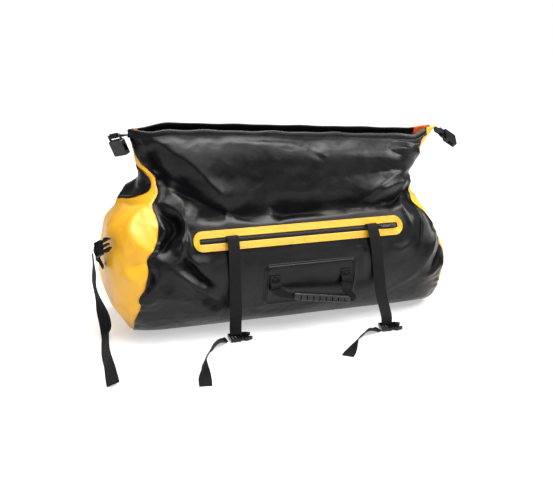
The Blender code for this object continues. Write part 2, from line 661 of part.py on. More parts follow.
END_ROUTES = {
    # tail of the end strap: clear of the end panel, then along the ground
    "left": ((-0.4275, -0.0460, 0.150), (-0.4290, -0.0480, 0.116), (-0.4200, -0.0500, 0.072),
             (-0.4125, -0.0500, 0.028), (-0.4135, -0.0620, 0.006), (-0.4180, -0.0880, 0.0016),
             (-0.4260, -0.1580, 0.0016), (-0.4280, -0.2300, 0.0016), (-0.4305, -0.2970, 0.0016)),
    "right": ((0.3720, 0.0770, 0.140), (0.3800, 0.0780, 0.100), (0.3810, 0.0800, 0.055),
              (0.3790, 0.0840, 0.020), (0.3790, 0.0960, 0.005), (0.3780, 0.1200, 0.0016),
              (0.3740, 0.1800, 0.0016), (0.3670, 0.2400, 0.0016), (0.3570, 0.2960, 0.0016)),
}


def build_end_hardware():
    for side, name in ((-1, "left"), (1, "right")):
        yc, zc = (-0.046, 0.166) if side < 0 else (0.075, 0.160)
        big, w, p = end_x(zc, side), half_depth(zc), power(zc)

        def face(y, z):
            # how far out the end panel is at y on level z
            return end_x(z, side) * abs(math.cos(math.asin(y / half_depth(z)))) ** (2 / power(z))

        # tab: webbing sewn flat on the panel, its eye standing clear at the top
        lift = 0.0 if side < 0 else 0.0040
        foot = Vector((side * (face(yc, zc - 0.012) + 0.0062 + lift), yc, zc - 0.012))
        bar = Vector((side * (face(yc, zc) + 0.0145 + lift), yc, zc + 0.008))
        d = (bar - foot).normalized()
        w = (0.14 if side < 0 else 0.26, 1, 0)
        m = frame_at(bar, d, w)
        add("end_tab_" + name, placed(loop_tab(0.024), m), WEBBING, 0.85)
        # adjuster on the tab: its lower bar passes through the eye
        up = Vector((side * 0.30, 0.0, 0.954)).normalized()
        o = bar + up * 0.0082
        ma = frame_at(o, up, w)
        add("end_adjuster_" + name, placed(ladder_lock(), ma), PLASTIC, 0.45, origin=tuple(bar))
        # plug buckle on the same webbing, lying across the panel
        ys = -1 if side < 0 else 1
        out = Vector((-side * 0.55, ys * 0.68, 0.48)).normalized()
        at = o + Vector((side * 0.001, ys * 0.0225, 0.0150))
        mb = frame_at(at, out, (0.20, 0.30, 0.93))
        add("end_buckle_" + name, placed(male_buckle(0.0030), mb), PLASTIC, 0.45,
            origin=tuple(at))
        first = o + up * 0.001 + Vector((side * 0.0078, 0, 0))
        path = flow([tuple(first)] + list(END_ROUTES[name]), 28)
        path[:, 2] = np.maximum(path[:, 2], 0.0014)
        # the webbing's width turns from along Y on the panel to along X on the ground
        k = smooth(0.08, 0.008, path[:, 2]).reshape(-1, 1)
        across = (1 - k) * np.array((0.0, 1.0, 0.0)) + k * np.array((1.0, 0.05, 0.0))
        add("end_strap_" + name, sweep(path, across, WEB, WEB_T), WEBBING, 0.85,
            origin=tuple(first))


CORNERS = (
    # name, side, tab direction, tab length, buckle direction, width direction
    ("left", -1, (-1.0, 0.0, -0.05), 0.0300, (0.36, 0.0, -0.93), (0.45, -0.70, 0.40)),
    ("right", 1, (0.84, 0.0, -0.44), 0.0200, (0.84, 0.0, -0.54), (0.25, 0.80, 0.46)),
)


def build_corners():
    for name, side, tab, n, hang, wide in CORNERS:
        cx, cy, cz = settle((side * end_x(0.400, side), 0.0, 0.400))
        start = Vector((cx + side * 0.0075, -0.0010, cz + (0.0010 if side < 0 else 0.0060)))
        h = Vector(hang).normalized()
        w = Vector(wide)
        w = (w - h * w.dot(h)).normalized()
        t = Vector(tab)
        t = (t - w * t.dot(w)).normalized()
        bar = start + t * n
        add("corner_loop_" + name, placed(loop_tab(n, 0.020), frame_at(bar, t, w)), WEBBING, 0.85)
        add("corner_buckle_" + name, placed(female_buckle(), frame_at(bar, h, w)),
            PLASTIC, 0.4, origin=tuple(bar))
        # coloured tape inside the corner of the mouth
        xs = np.linspace(end_x(0.40, side) * 0.80, end_x(0.40, side) * 0.925, 4) * side
        rows = [[settle((q, outline(q, z) + 0.0054, z)) for q in xs] for z in (0.387, 0.400)]
        add("corner_tape_" + name, sheet(rows, 0.0006), (0.65, 0.12, 0.02), 0.5)


def build_rear():
    """Sockets on the rear, which the two front straps clip into."""
    for side, name in ((-1, "left"), (1, "right")):
        x, z = side * 0.158, 0.160
        # the socket hangs straight down, just clear of the barrel's widest line
        bar = Vector((x, BODY_R + 0.0060 + 0.0020, z))
        foot = Vector((x, -facet_y(x, z + 0.024) + 0.0024, z + 0.024))
        d = (bar - foot).normalized()
        add("rear_tab_" + name, placed(loop_tab(0.026), frame_at(bar, d, (1, 0, 0))),
            WEBBING, 0.85)
        mb = frame_at(bar, (0, 0, -1), (1, 0, 0))
        add("rear_buckle_" + name, placed(female_buckle(), mb), PLASTIC, 0.4, origin=tuple(bar))


def main():
    for ob in list(bpy.data.objects):
        bpy.data.objects.remove(ob, do_unlink=True)
    build_panels()
    build_base()
    build_zip()
    build_handle()
    build_front_straps()
    build_end_hardware()
    build_corners()
    build_rear()


main()
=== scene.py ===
"""Looks of a roll-top tail bag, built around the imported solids. Sizes in metres."""
import math

import bmesh
import bpy
import numpy as np
from mathutils import Matrix, Vector


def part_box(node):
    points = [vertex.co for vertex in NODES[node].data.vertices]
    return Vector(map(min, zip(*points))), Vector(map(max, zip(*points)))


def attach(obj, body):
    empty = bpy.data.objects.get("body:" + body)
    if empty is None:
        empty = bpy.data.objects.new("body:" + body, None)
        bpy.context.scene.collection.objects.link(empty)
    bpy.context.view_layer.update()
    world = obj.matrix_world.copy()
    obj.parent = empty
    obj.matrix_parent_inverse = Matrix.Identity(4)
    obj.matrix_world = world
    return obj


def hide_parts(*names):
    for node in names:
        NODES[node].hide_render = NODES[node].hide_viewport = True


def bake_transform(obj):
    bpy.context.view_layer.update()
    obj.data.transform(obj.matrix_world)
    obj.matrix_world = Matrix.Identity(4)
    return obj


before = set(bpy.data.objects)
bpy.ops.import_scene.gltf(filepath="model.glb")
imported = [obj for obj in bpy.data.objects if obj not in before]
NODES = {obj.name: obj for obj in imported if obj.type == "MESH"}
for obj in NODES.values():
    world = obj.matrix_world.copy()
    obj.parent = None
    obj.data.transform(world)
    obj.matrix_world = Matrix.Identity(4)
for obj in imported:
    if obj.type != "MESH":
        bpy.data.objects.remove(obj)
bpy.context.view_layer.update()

scene = bpy.context.scene
RNG = np.random.default_rng(11)

# ---------------------------------------------------------------- dimensions
BODY_R, BODY_ZC = 0.150, 0.143
LIP_Z, LIP_HALF = 0.414, 0.015
SEAM_X = 0.318
LEFT_END = ((0.000, 0.358), (0.080, 0.399), (0.160, 0.407), (0.225, 0.398),
            (0.272, 0.364), (0.300, 0.328), (0.330, 0.323), (0.370, 0.331),
            (0.414, 0.340))
RIGHT_END = ((0.000, 0.356), (0.060, 0.360), (0.110, 0.361), (0.165, 0.346),
             (0.215, 0.319), (0.262, 0.290), (0.305, 0.284), (0.350, 0.309),
             (0.414, 0.358))
ZIP_Z0, ZIP_Z1, ZIP_X0, ZIP_X1 = 0.206, 0.218, -0.226, 0.208
BAND_Z0, BAND_Z1, BAND_X0, BAND_X1 = 0.1930, 0.2310, -0.238, 0.220
PATCH_X0, PATCH_X1, PATCH_Z0, PATCH_Z1 = -0.096, 0.110, 0.060, 0.156
WEB, WEB_T = 0.025, 0.0016


# ------------------------------------------------------------ shape of the bag
def smooth(a, b, x):
    t = np.clip((np.asarray(x, float) - a) / (b - a), 0.0, 1.0)
    return t * t * (3 - 2 * t)


def gauss(x, c, s):
    return np.exp(-((np.asarray(x, float) - c) / s) ** 2)


def curve(stations, z):
    zs = np.array([s[0] for s in stations])
    xs = np.array([s[1] for s in stations])
    h = np.diff(zs)
    d = np.diff(xs) / h
    m = np.zeros_like(xs)
    m[0], m[-1] = d[0], d[-1]
    for i in range(1, len(xs) - 1):
        m[i] = 0.0 if d[i - 1] * d[i] <= 0 else 2 / (1 / d[i - 1] + 1 / d[i])
    z = np.clip(np.asarray(z, float), zs[0], zs[-1])
    i = np.clip(np.searchsorted(zs, z) - 1, 0, len(h) - 1)
    t = (z - zs[i]) / h[i]
    return ((2 * t ** 3 - 3 * t ** 2 + 1) * xs[i] + (t ** 3 - 2 * t ** 2 + t) * h[i] * m[i]
            + (-2 * t ** 3 + 3 * t ** 2) * xs[i + 1] + (t ** 3 - t ** 2) * h[i] * m[i + 1])


def half_depth(z):
    z = np.asarray(z, float)
    ly, lz = LIP_HALF, LIP_Z - BODY_ZC
    a = math.atan2(lz, ly) - math.acos(BODY_R / math.hypot(ly, lz))
    ty, tz = BODY_R * math.cos(a), BODY_ZC + BODY_R * math.sin(a)
    low = np.sqrt(np.maximum(BODY_R ** 2 - (z - BODY_ZC) ** 2, 0.0)) + 0.0008 * gauss(z, 0.095, 0.025)
    return np.where(z <= tz, low, ty + (LIP_HALF - ty) * (z - tz) / (LIP_Z - tz))


def power(z):
    return 13.0 - 9.6 * smooth(0.215, 0.320, z) + 2.6 * smooth(0.345, 0.410, z)


def end_x(z, side):
    return curve(LEFT_END if side < 0 else RIGHT_END, z)


# how far each seam wanders from its line, against height, in metres of arc
WANDER_FL = ((0.000, -0.034), (0.020, -0.037), (0.040, -0.038), (0.066, -0.032), (0.090, -0.026),
             (0.104, -0.030), (0.128, -0.017), (0.150, -0.012), (0.166, -0.009), (0.184, -0.011),
             (0.202, 0.003), (0.224, 0.015), (0.245, 0.020), (0.266, 0.0235), (0.288, 0.028),
             (0.302, 0.0285), (0.322, 0.027), (0.335, 0.014), (0.348, 0.001), (0.378, -0.009),
             (0.414, -0.008))
WANDER_RL = ((0.000, 0.000), (0.060, 0.010), (0.120, 0.002), (0.170, -0.008), (0.215, 0.000),
             (0.250, 0.008), (0.268, 0.026), (0.280, 0.042), (0.288, 0.070), (0.294, 0.082),
             (0.302, 0.078), (0.320, 0.060), (0.331, 0.044), (0.340, 0.022), (0.350, 0.003),
             (0.370, -0.003), (0.414, 0.000))
WANDER_FR = ((0.000, 0.000), (0.040, 0.006), (0.085, 0.000), (0.130, 0.008), (0.165, 0.000),
             (0.200, 0.011), (0.235, 0.007), (0.275, 0.014), (0.310, 0.012), (0.345, 0.004),
             (0.370, -0.010), (0.395, -0.017), (0.414, -0.018))
WANDER_RR = ((0.000, 0.000), (0.050, -0.006), (0.110, 0.006), (0.160, -0.005), (0.210, 0.006),
             (0.260, 0.000), (0.414, 0.000))


def seam_x(z, side, rear):
    x = end_x(z, side)
    low = np.minimum(SEAM_X, 0.90 * x)
    lift = smooth(0.228, 0.318, z) if (rear and side < 0) else smooth(0.250, 0.330, z)
    return low + (0.965 * x - low) * lift


def settle(p):
    p = np.array(p, float)
    x, y, z = p[..., 0].copy(), p[..., 1], p[..., 2]
    g = smooth(0.225, LIP_Z, z)
    dz = -0.068 * (x - 0.034)
    dz = dz - 0.013 * smooth(0.250, 0.335, -x) + 0.008 * smooth(0.290, 0.350, x)
    bulge = 0.026 * smooth(0.250, 0.295, z) * smooth(0.345, 0.300, z)
    p[..., 0] = x - bulge * smooth(0.0, 0.050, y) * smooth(0.20, 0.33, -x)
    p[..., 2] = z + dz * g
    return p


def outline(x, z):
    big = np.where(np.asarray(x) < 0, end_x(z, -1), end_x(z, 1))
    return -half_depth(z) * np.sqrt(np.maximum(1 - np.abs(x / big) ** power(z), 0.0))


def level(z):
    """The outline on one level, from the rear middle by the left end and the
    front to the right end and back: points and lengths, and the four seams."""
    w, p = float(half_depth(z)), float(power(z))
    quarter = []
    for side in (-1, 1):
        big = float(end_x(z, side))
        a = np.linspace(0, 0.9, 260) * big
        t = np.linspace(math.acos(0.9 ** (p / 2)), 0, 160)[1:]
        x = np.concatenate([a, big * np.abs(np.cos(t)) ** (2 / p)])
        y = w * np.sqrt(np.maximum(1 - (x / big) ** p, 0))
        quarter.append((x, y))
    (lx, ly), (rx, ry) = quarter
    x = np.concatenate([-lx, -lx[::-1][1:], rx[1:], rx[::-1][1:]])
    y = np.concatenate([ly, -ly[::-1][1:], -ry[1:], ry[::-1][1:]])
    s = np.concatenate([[0], np.cumsum(np.hypot(np.diff(x), np.diff(y)))])
    n = len(lx)

    def at(q, i0, i1, wander):
        xs, ss = np.abs(x[i0:i1]), s[i0:i1]
        o = np.argsort(xs)
        return float(np.interp(q, xs[o], ss[o])) + float(curve(wander, z))

    rl = at(float(seam_x(z, -1, True)), 0, n, WANDER_RL)
    fl = at(float(seam_x(z, -1, False)), n - 1, 2 * n - 1, WANDER_FL)
    m = 2 * n - 2
    fr = at(float(seam_x(z, 1, False)), m, m + len(rx), WANDER_FR)
    rr = at(float(seam_x(z, 1, True)), m + len(rx) - 1, len(x), WANDER_RR)
    return x, y, s, (rl, fl, fr, rr)


def stations(n, lap):
    """Columns of a panel: (metres past an edge, fraction between the edges)."""
    out = []
    if lap:
        out += [(-q, 0.0) for q in (0.0052, 0.0050, 0.0040, 0.0020)]
    out += [(q, 0.0) for q in (0.0, 0.0025, 0.0050, 0.0080)]
    for k in range(1, n):
        out.append((0.0080 * (1 - 2 * k / n), k / n))
    out += [(-q, 1.0) for q in (0.0080, 0.0050, 0.0025, 0.0)]
    if lap:
        out += [(q, 1.0) for q in (0.0020, 0.0040, 0.0050, 0.0052)]
    return out


Z_ROWS = np.unique(np.round(np.concatenate([
    np.linspace(0.0, 0.012, 5), np.linspace(0.015, 0.400, 152), np.linspace(0.403, LIP_Z - 0.002, 4)]), 5))
LEVELS = [level(z) for z in Z_ROWS]


def panel(kind, n, lap):
    """Grid of points on the undisturbed surface, and each one's own level."""
    cols = stations(n, lap)
    out = []
    for z, (x, y, s, (rl, fl, fr, rr)) in zip(Z_ROWS, LEVELS):
        total = s[-1]
        a, b = {"left": (rl, fl), "front": (fl, fr), "right": (fr, rr),
                "rear": (rr, rl + total)}[kind]
        q = np.array([(a + c0 if f == 0 else b + c0 if f == 1 else a + (b - a) * f + c0)
                      for c0, f in cols]) % total
        out.append(np.stack([np.interp(q, s, x), np.interp(q, s, y), np.full(len(q), z)], 1))
    raw = np.array(out)
    return raw, settle(raw)


def normals(p):
    du = np.gradient(p, axis=1)
    dv = np.gradient(p, axis=0)
    n = np.cross(du, dv)
    return n / np.maximum(np.linalg.norm(n, axis=2, keepdims=True), 1e-12)


# ---------------------------------------------------------------------- folds
def flow(points, step=0.006):
    p = [np.asarray(q, float) for q in points]
    p = [2 * p[0] - p[1]] + p + [2 * p[-1] - p[-2]]
    out = []
    for i in range(1, len(p) - 2):
        a, b, c, d = p[i - 1], p[i], p[i + 1], p[i + 2]
        for s in np.linspace(0, 1, 16, endpoint=False):
            out.append(0.5 * (2 * b + (c - a) * s + (2 * a - 5 * b + 4 * c - d) * s * s
                              + (3 * b - a - 3 * c + d) * s ** 3))
    out.append(p[-2])
    out = np.array(out)
    s = np.concatenate([[0], np.cumsum(np.linalg.norm(np.diff(out, axis=0), axis=1))])
    n = max(int(s[-1] / step), 6) if step > 0 else int(-step)
    at = np.linspace(0, s[-1], n + 1)
    return np.stack([np.interp(at, s, out[:, k]) for k in range(3)], 1)


# Folds: points in metres on the surface, height at start, middle and end in
# mm (a valley is negative), how far it reaches on its left and right in mm
# (left of the direction of travel, seen from outside), and its crest radius.
GAIN = 1.7
FOLDS = [
    # front, left side
    (((-0.293, -0.018, 0.413), (-0.258, -0.035, 0.381), (-0.218, -0.050, 0.351), (-0.188, -0.072, 0.314),
      (-0.163, -0.092, 0.283), (-0.156, -0.104, 0.263), (-0.165, -0.116, 0.243)), (3, 10, 3), (26, 11), 2.5),
    (((-0.283, -0.044, 0.325), (-0.264, -0.062, 0.306), (-0.232, -0.078, 0.296), (-0.201, -0.090, 0.285),
      (-0.168, -0.102, 0.267)), (-3, -8, -2), (9, 15), 4),
    (((-0.285, -0.047, 0.316), (-0.271, -0.058, 0.309), (-0.256, -0.075, 0.295), (-0.247, -0.094, 0.273)),
     (2, 6, 4), (14, 14), 3),
    (((-0.294, -0.071, 0.285), (-0.277, -0.083, 0.280), (-0.259, -0.098, 0.265), (-0.250, -0.111, 0.247),
      (-0.249, -0.127, 0.221), (-0.247, -0.139, 0.196), (-0.232, -0.148, 0.161), (-0.203, -0.149, 0.130),
      (-0.184, -0.145, 0.110)), (3, 11, 3), (22, 9), 1.8),
    (((-0.296, -0.084, 0.272), (-0.280, -0.097, 0.263), (-0.267, -0.109, 0.248), (-0.266, -0.117, 0.236)),
     (-3, -9, -6), (10, 10), 3),
    (((-0.266, -0.116, 0.238), (-0.282, -0.124, 0.223), (-0.298, -0.132, 0.204), (-0.318, -0.133, 0.190)),
     (-6, -10, -4), (8, 10), 2.5),
    (((-0.298, -0.095, 0.263), (-0.293, -0.113, 0.237), (-0.304, -0.126, 0.214)), (1, 5, 1), (7, 7), 2),
    (((-0.264, -0.117, 0.236), (-0.261, -0.132, 0.212), (-0.267, -0.142, 0.187), (-0.287, -0.143, 0.176)),
     (1, 6, 1), (8, 8), 1.8),
    (((-0.256, -0.125, 0.225), (-0.254, -0.138, 0.200), (-0.250, -0.146, 0.172)), (-1, -6, -2), (6, 6), 2),
    (((-0.297, -0.140, 0.182), (-0.283, -0.146, 0.162), (-0.257, -0.149, 0.141), (-0.219, -0.147, 0.113),
      (-0.184, -0.140, 0.091)), (2, 9, 2), (11, 16), 1.6),
    (((-0.262, -0.140, 0.192), (-0.245, -0.148, 0.165), (-0.219, -0.150, 0.137), (-0.182, -0.146, 0.112)),
     (-3, -8, -2), (9, 9), 2.5),
    (((-0.322, -0.134, 0.188), (-0.314, -0.140, 0.169), (-0.310, -0.143, 0.147), (-0.326, -0.138, 0.125),
      (-0.340, -0.127, 0.108)), (1, 5, 2), (10, 8), 2),
    (((-0.327, -0.135, 0.177), (-0.322, -0.140, 0.153), (-0.331, -0.137, 0.128), (-0.341, -0.130, 0.116)),
     (-2, -5, -3), (6, 6), 2),
    (((-0.344, -0.125, 0.100), (-0.331, -0.129, 0.094), (-0.321, -0.136, 0.107), (-0.310, -0.142, 0.128)),
     (2, 5, 1), (7, 9), 2),
    (((-0.319, -0.011, 0.412), (-0.312, -0.018, 0.395), (-0.290, -0.028, 0.376)), (0, 3, 0), (10, 8), 2),
    (((-0.322, -0.013, 0.400), (-0.301, -0.024, 0.376), (-0.273, -0.043, 0.339), (-0.233, -0.064, 0.316)),
     (-1, -6, -1), (10, 12), 4),
    # front, middle: the neck sags on to the barrel
    (((-0.172, -0.098, 0.282), (-0.150, -0.106, 0.262), (-0.123, -0.113, 0.249), (-0.089, -0.121, 0.237),
      (-0.060, -0.124, 0.231), (-0.046, -0.113, 0.246), (-0.007, -0.111, 0.251), (0.051, -0.115, 0.246),
      (0.100, -0.117, 0.243)), (-1, -9, -2), (15, 7), 3),
    (((-0.060, -0.122, 0.233), (-0.064, -0.109, 0.254), (-0.080, -0.093, 0.285)), (1, 2.4, 0), (16, 12), 3),
    (((-0.240, -0.030, 0.393), (-0.150, -0.030, 0.391), (-0.080, -0.037, 0.382), (-0.021, -0.044, 0.368),
      (0.040, -0.050, 0.356), (0.102, -0.046, 0.356), (0.172, -0.043, 0.353), (0.225, -0.039, 0.351)),
     (0, 6, 3), (16, 26), 10),
    (((-0.044, -0.036, 0.380), (-0.024, -0.042, 0.370), (-0.006, -0.044, 0.366), (0.016, -0.042, 0.368)), (0, -1.8, 0), (5, 3.5), 1.0),
    (((0.030, -0.042, 0.370), (0.044, -0.049, 0.357), (0.056, -0.053, 0.347), (0.072, -0.056, 0.340)), (0, -2.2, 0), (4, 5), 1.0),
    (((0.044, -0.042, 0.366), (0.060, -0.048, 0.355), (0.078, -0.053, 0.345)), (0, 1.6, 0), (5, 5), 1.2),
    (((0.212, -0.034, 0.368), (0.222, -0.039, 0.354), (0.240, -0.038, 0.347), (0.262, -0.034, 0.346)), (0, -3, 0), (5, 5), 1.2),
    # front, right side
    (((0.226, -0.037, 0.358), (0.262, -0.032, 0.356), (0.287, -0.026, 0.351), (0.303, -0.018, 0.345)),
     (2, 6, 4), (7, 12), 1.6),
    (((0.290, -0.028, 0.322), (0.241, -0.051, 0.303), (0.194, -0.078, 0.289), (0.136, -0.103, 0.262),
      (0.100, -0.115, 0.245)), (4, 6, 0), (12, 20), 4),
    (((0.274, -0.041, 0.281), (0.218, -0.079, 0.281), (0.176, -0.095, 0.271), (0.138, -0.114, 0.247)),
     (5, 6, 0), (10, 14), 3),
    (((0.266, -0.053, 0.276), (0.222, -0.095, 0.261), (0.190, -0.114, 0.241)), (-4, -8, 0), (8, 9), 2.5),
    (((0.253, -0.062, 0.279), (0.229, -0.103, 0.249), (0.239, -0.127, 0.215), (0.249, -0.136, 0.193)),
     (3, 7, 1), (12, 9), 2),
    (((0.263, -0.085, 0.249), (0.276, -0.113, 0.214), (0.264, -0.136, 0.185), (0.252, -0.146, 0.152)),
     (-2, -6, 0), (10, 10), 3),
    (((0.292, -0.112, 0.210), (0.292, -0.127, 0.176), (0.273, -0.143, 0.136), (0.264, -0.140, 0.102)),
     (1, 6, 0), (10, 12), 2.5),
    (((0.311, -0.119, 0.165), (0.297, -0.135, 0.118), (0.272, -0.138, 0.094)), (-1, -5, 0), (8, 8), 3),
    (((0.314, -0.125, 0.116), (0.288, -0.134, 0.097), (0.257, -0.140, 0.093)), (2, 4, 0), (9, 9), 2),
    (((0.178, -0.145, 0.179), (0.203, -0.148, 0.159), (0.239, -0.141, 0.183)), (0, 4, 1), (12, 10), 3),
    (((0.099, -0.146, 0.186), (0.119, -0.149, 0.165), (0.128, -0.149, 0.135)), (0, 2.5, 0), (9, 9), 3),
    # left end
    (((-0.296, -0.067, 0.287), (-0.326, -0.068, 0.273), (-0.352, -0.083, 0.246), (-0.349, -0.111, 0.214),
      (-0.325, -0.131, 0.193)), (1, 5, 2), (16, 12), 4),
    (((-0.375, -0.108, 0.172), (-0.350, -0.129, 0.139), (-0.339, -0.132, 0.116)), (1, 5, 1), (9, 14), 2.5),
    (((-0.331, -0.133, 0.183), (-0.353, -0.124, 0.174), (-0.375, -0.108, 0.163)), (-3, -5, -1), (9, 9), 3),
    (((-0.372, 0.030, 0.276), (-0.348, -0.033, 0.281), (-0.327, -0.056, 0.282), (-0.302, -0.066, 0.287)),
     (-1, -6, -1), (8, 14), 3),
    (((-0.398, -0.020, 0.232), (-0.402, -0.060, 0.190), (-0.396, -0.082, 0.150)), (0, 3.5, 0), (14, 14), 5),
    (((-0.396, 0.060, 0.200), (-0.403, 0.030, 0.120), (-0.396, 0.010, 0.050)), (0, 4, 0), (16, 12), 4),
    (((-0.372, -0.090, 0.060), (-0.386, -0.050, 0.080), (-0.394, -0.010, 0.060)), (0, 4, 0), (10, 14), 4),
    # right end
    (((0.283, -0.030, 0.290), (0.318, -0.010, 0.240), (0.352, 0.000, 0.190)), (2, 6, 0), (12, 12), 4),
    (((0.290, 0.040, 0.286), (0.312, 0.070, 0.232), (0.338, 0.092, 0.170)), (2, 6, 0), (10, 14), 3),
    (((0.352, 0.080, 0.080), (0.364, 0.040, 0.110), (0.362, -0.020, 0.090)), (0, 5, 0), (12, 14), 4),
    (((0.310, -0.055, 0.250), (0.330, -0.080, 0.200), (0.325, -0.110, 0.160)), (0, -5, 0), (9, 12), 3),
]


def turned(fold, x_scale, dz):
    pts, amp, reach, r = fold
    return (tuple((-x * x_scale, -y, z + dz) for x, y, z in pts), amp, reach, r)


# the rear has folds of the same kind, seen the other way round
for k in (0, 1, 2, 3, 4, 5, 7, 9, 10, 15, 18, 19, 22, 24, 25, 26, 27, 28, 29):
    FOLDS.append(turned(FOLDS[k], 0.90 + 0.012 * (k % 5), -0.006 + 0.004 * (k % 4)))
# folds that pull in to the rear left shoulder
FOLDS += [
    (((-0.345, 0.040, 0.300), (-0.300, 0.066, 0.288), (-0.240, 0.088, 0.276), (-0.180, 0.104, 0.262)),
     (4, 7, 0), (12, 12), 3),
    (((-0.352, 0.052, 0.272), (-0.310, 0.088, 0.262), (-0.262, 0.112, 0.236)), (-4, -7, 0), (9, 10), 3),
    (((-0.330, 0.020, 0.330), (-0.285, 0.044, 0.325), (-0.230, 0.060, 0.330)), (-2, -5, 0), (9, 12), 3),
]

WAVES = RNG.normal(size=(3, 26, 3))
WAVE_PH = RNG.uniform(0, 2 * math.pi, size=(3, 26))


def noise(p, k, size):
    """Smooth isotropic noise from plane waves, about one unit high."""
    d = WAVES[k] / np.linalg.norm(WAVES[k], axis=1, keepdims=True)
    f = 2 * math.pi / size * (0.7 + 0.6 * (np.arange(26) / 25))
    ph = (p @ d.T) * f + WAVE_PH[k]
    return np.sin(ph).sum(-1) / math.sqrt(26)


def box_gap(x, z, x0, x1, z0, z1):
    dx = np.maximum(np.maximum(x0 - x, x - x1), 0)
    dz = np.maximum(np.maximum(z0 - z, z - z1), 0)
    return np.hypot(dx, dz)


def prepare(all_points):
    """Each fold's line, pulled on to the surface."""
    pts = all_points.reshape(-1, 3)
    out = []
    for line, amp, reach, r in FOLDS:
        q = flow(line, 0.007)
        for i in range(len(q)):
            q[i] = pts[np.argmin(((pts - q[i]) ** 2).sum(1))]
        # smooth the snapped line
        for _ in range(2):
            q[1:-1] = 0.25 * q[:-2] + 0.5 * q[1:-1] + 0.25 * q[2:]
        out.append((q, amp, reach, r))
    return out


def folds_at(p, n, lines):
    """Height in metres of all folds at points p with outward normals n."""
    h = np.zeros(len(p))
    for q, amp, reach, r in lines:
        far = 3.2e-3 * max(reach) + 0.01
        lo, hi = q.min(0) - far, q.max(0) + far
        near = np.where(np.all((p > lo) & (p < hi), axis=1))[0]
        if not len(near):
            continue
        a, b = q[:-1], q[1:]
        v = b - a
        best = np.full(len(near), 1e9)
        along = np.zeros(len(near))
        side = np.zeros(len(near))
        pn, nn = p[near], n[near]
        for i in range(len(a)):
            w = pn - a[i]
            t = np.clip(w @ v[i] / max(v[i] @ v[i], 1e-12), 0, 1)
            off = w - t[:, None] * v[i]
            d = np.linalg.norm(off, axis=1)
            m = d < best
            best[m] = d[m]
            along[m] = ((i + t[m]) / len(a))
            side[m] = np.einsum("ij,ij->i", np.cross(v[i], off[m]), nn[m])
        k = side / (np.abs(side) + 1e-9)
        wid = 1e-3 * (reach[0] * (1 + k) / 2 + reach[1] * (1 - k) / 2)
        rr = r * 1e-3
        prof = np.exp(-(np.sqrt(best ** 2 + rr ** 2) - rr) / wid) * smooth(3.2, 2.0, best / wid)
        h0 = np.where(along < 0.5, amp[0] + (amp[1] - amp[0]) * smooth(0, 0.5, along),
                      amp[1] + (amp[2] - amp[1]) * smooth(0.5, 1.0, along))
        # past its ends a fold fades in a rounded way
        h[near] += h0 * 1e-3 * prof
    return h


def sag(x):
    """The front lip hangs a little lower and further out than the rear one."""
    m = smooth(0.338, 0.285, np.abs(x))[..., None]
    return m * np.array((0.0, -0.0070, -0.0085))


def displace(raw, base, nrm, kind, lines):
    p = base.reshape(-1, 3)
    n = nrm.reshape(-1, 3)
    x, z = raw[..., 0].ravel(), raw[..., 2].ravel()
    front = p[:, 1] < 0
    h = folds_at(p, n, lines)
    # the neck's general drape, front and rear
    side = smooth(0.315, 0.24, np.abs(x))
    drape = -0.012 * gauss(z, 0.262, 0.024) + 0.009 * gauss(z, 0.350, 0.030)
    h = GAIN * h + drape * side * np.where(front, 1.0, 0.8)
    # a loose net of creases, weaker in the middle
    calm = 0.35 + 0.65 * smooth(0.14, 0.27, np.abs(x))
    h = h + calm * (0.0018 * (1 - np.minimum(np.abs(noise(p, 1, 0.150)), 1)) ** 3
                    + 0.0008 * (1 - np.minimum(np.abs(noise(p, 2, 0.060)), 1)) ** 3 - 0.0006)
    h = h + 0.0013 * noise(p, 0, 0.125) + 0.0004 * noise(p, 1, 0.050) + 0.00014 * noise(p, 2, 0.017)
    # puckers along the seams
    rows = np.repeat(Z_ROWS, base.shape[1])
    cols = np.tile(np.arange(base.shape[1]), base.shape[0])
    edge = np.linalg.norm(base - base[:, 4 if kind in ("front", "rear") else 0][:, None], axis=2).ravel()
    edge2 = np.linalg.norm(base - base[:, -5 if kind in ("front", "rear") else -1][:, None], axis=2).ravel()
    for e, ph in ((edge, 0.0), (edge2, 1.7)):
        wob = np.sin(2 * math.pi * rows / 0.0235 + ph + 2.2 * np.sin(rows * 61 + ph)) \
            * (0.6 + 0.4 * np.sin(rows * 97 + ph))
        h = h + 0.0017 * wob * np.exp(-e / 0.012) * smooth(0.0, 0.02, rows)
    if kind in ("left", "right"):
        h = h - 0.0016 * smooth(0.012, 0.003, np.minimum(edge, edge2))
        y0 = -0.050 if kind == "left" else 0.078
        w = smooth(0.046, 0.024, np.abs(p[:, 1] - y0)) * smooth(0.225, 0.205, z)
        h = np.where(h > 0, h * (1 - w), h)
    # flat where the zip, the patch and the straps are, at the base and at the lips
    if kind == "front":
        h *= smooth(0.001, 0.026, box_gap(x, z, BAND_X0, BAND_X1, BAND_Z0, BAND_Z1))
        h *= smooth(0.000, 0.018, box_gap(x, z, PATCH_X0, PATCH_X1, PATCH_Z0, PATCH_Z1))
        for xs in (-0.159, 0.153):
            w = smooth(0.032, 0.016, np.abs(x - xs)) * smooth(0.215, 0.200, z)
            h = np.where(h > 0, h * (1 - 0.85 * w), h)
    if kind == "rear":
        for xs in (-0.158, 0.158):
            g = box_gap(x, z, xs - 0.02, xs + 0.02, 0.10, 0.20)
            h *= smooth(0.0, 0.02, g)
    h *= smooth(-0.004, 0.030, z)
    h *= 0.12 + 0.88 * smooth(LIP_Z - 0.004, LIP_Z - 0.034, z)
    h = np.where(h > 0, 0.021 * np.tanh(h / 0.021), 0.030 * np.tanh(h / 0.030))
    return h.reshape(base.shape[:2])


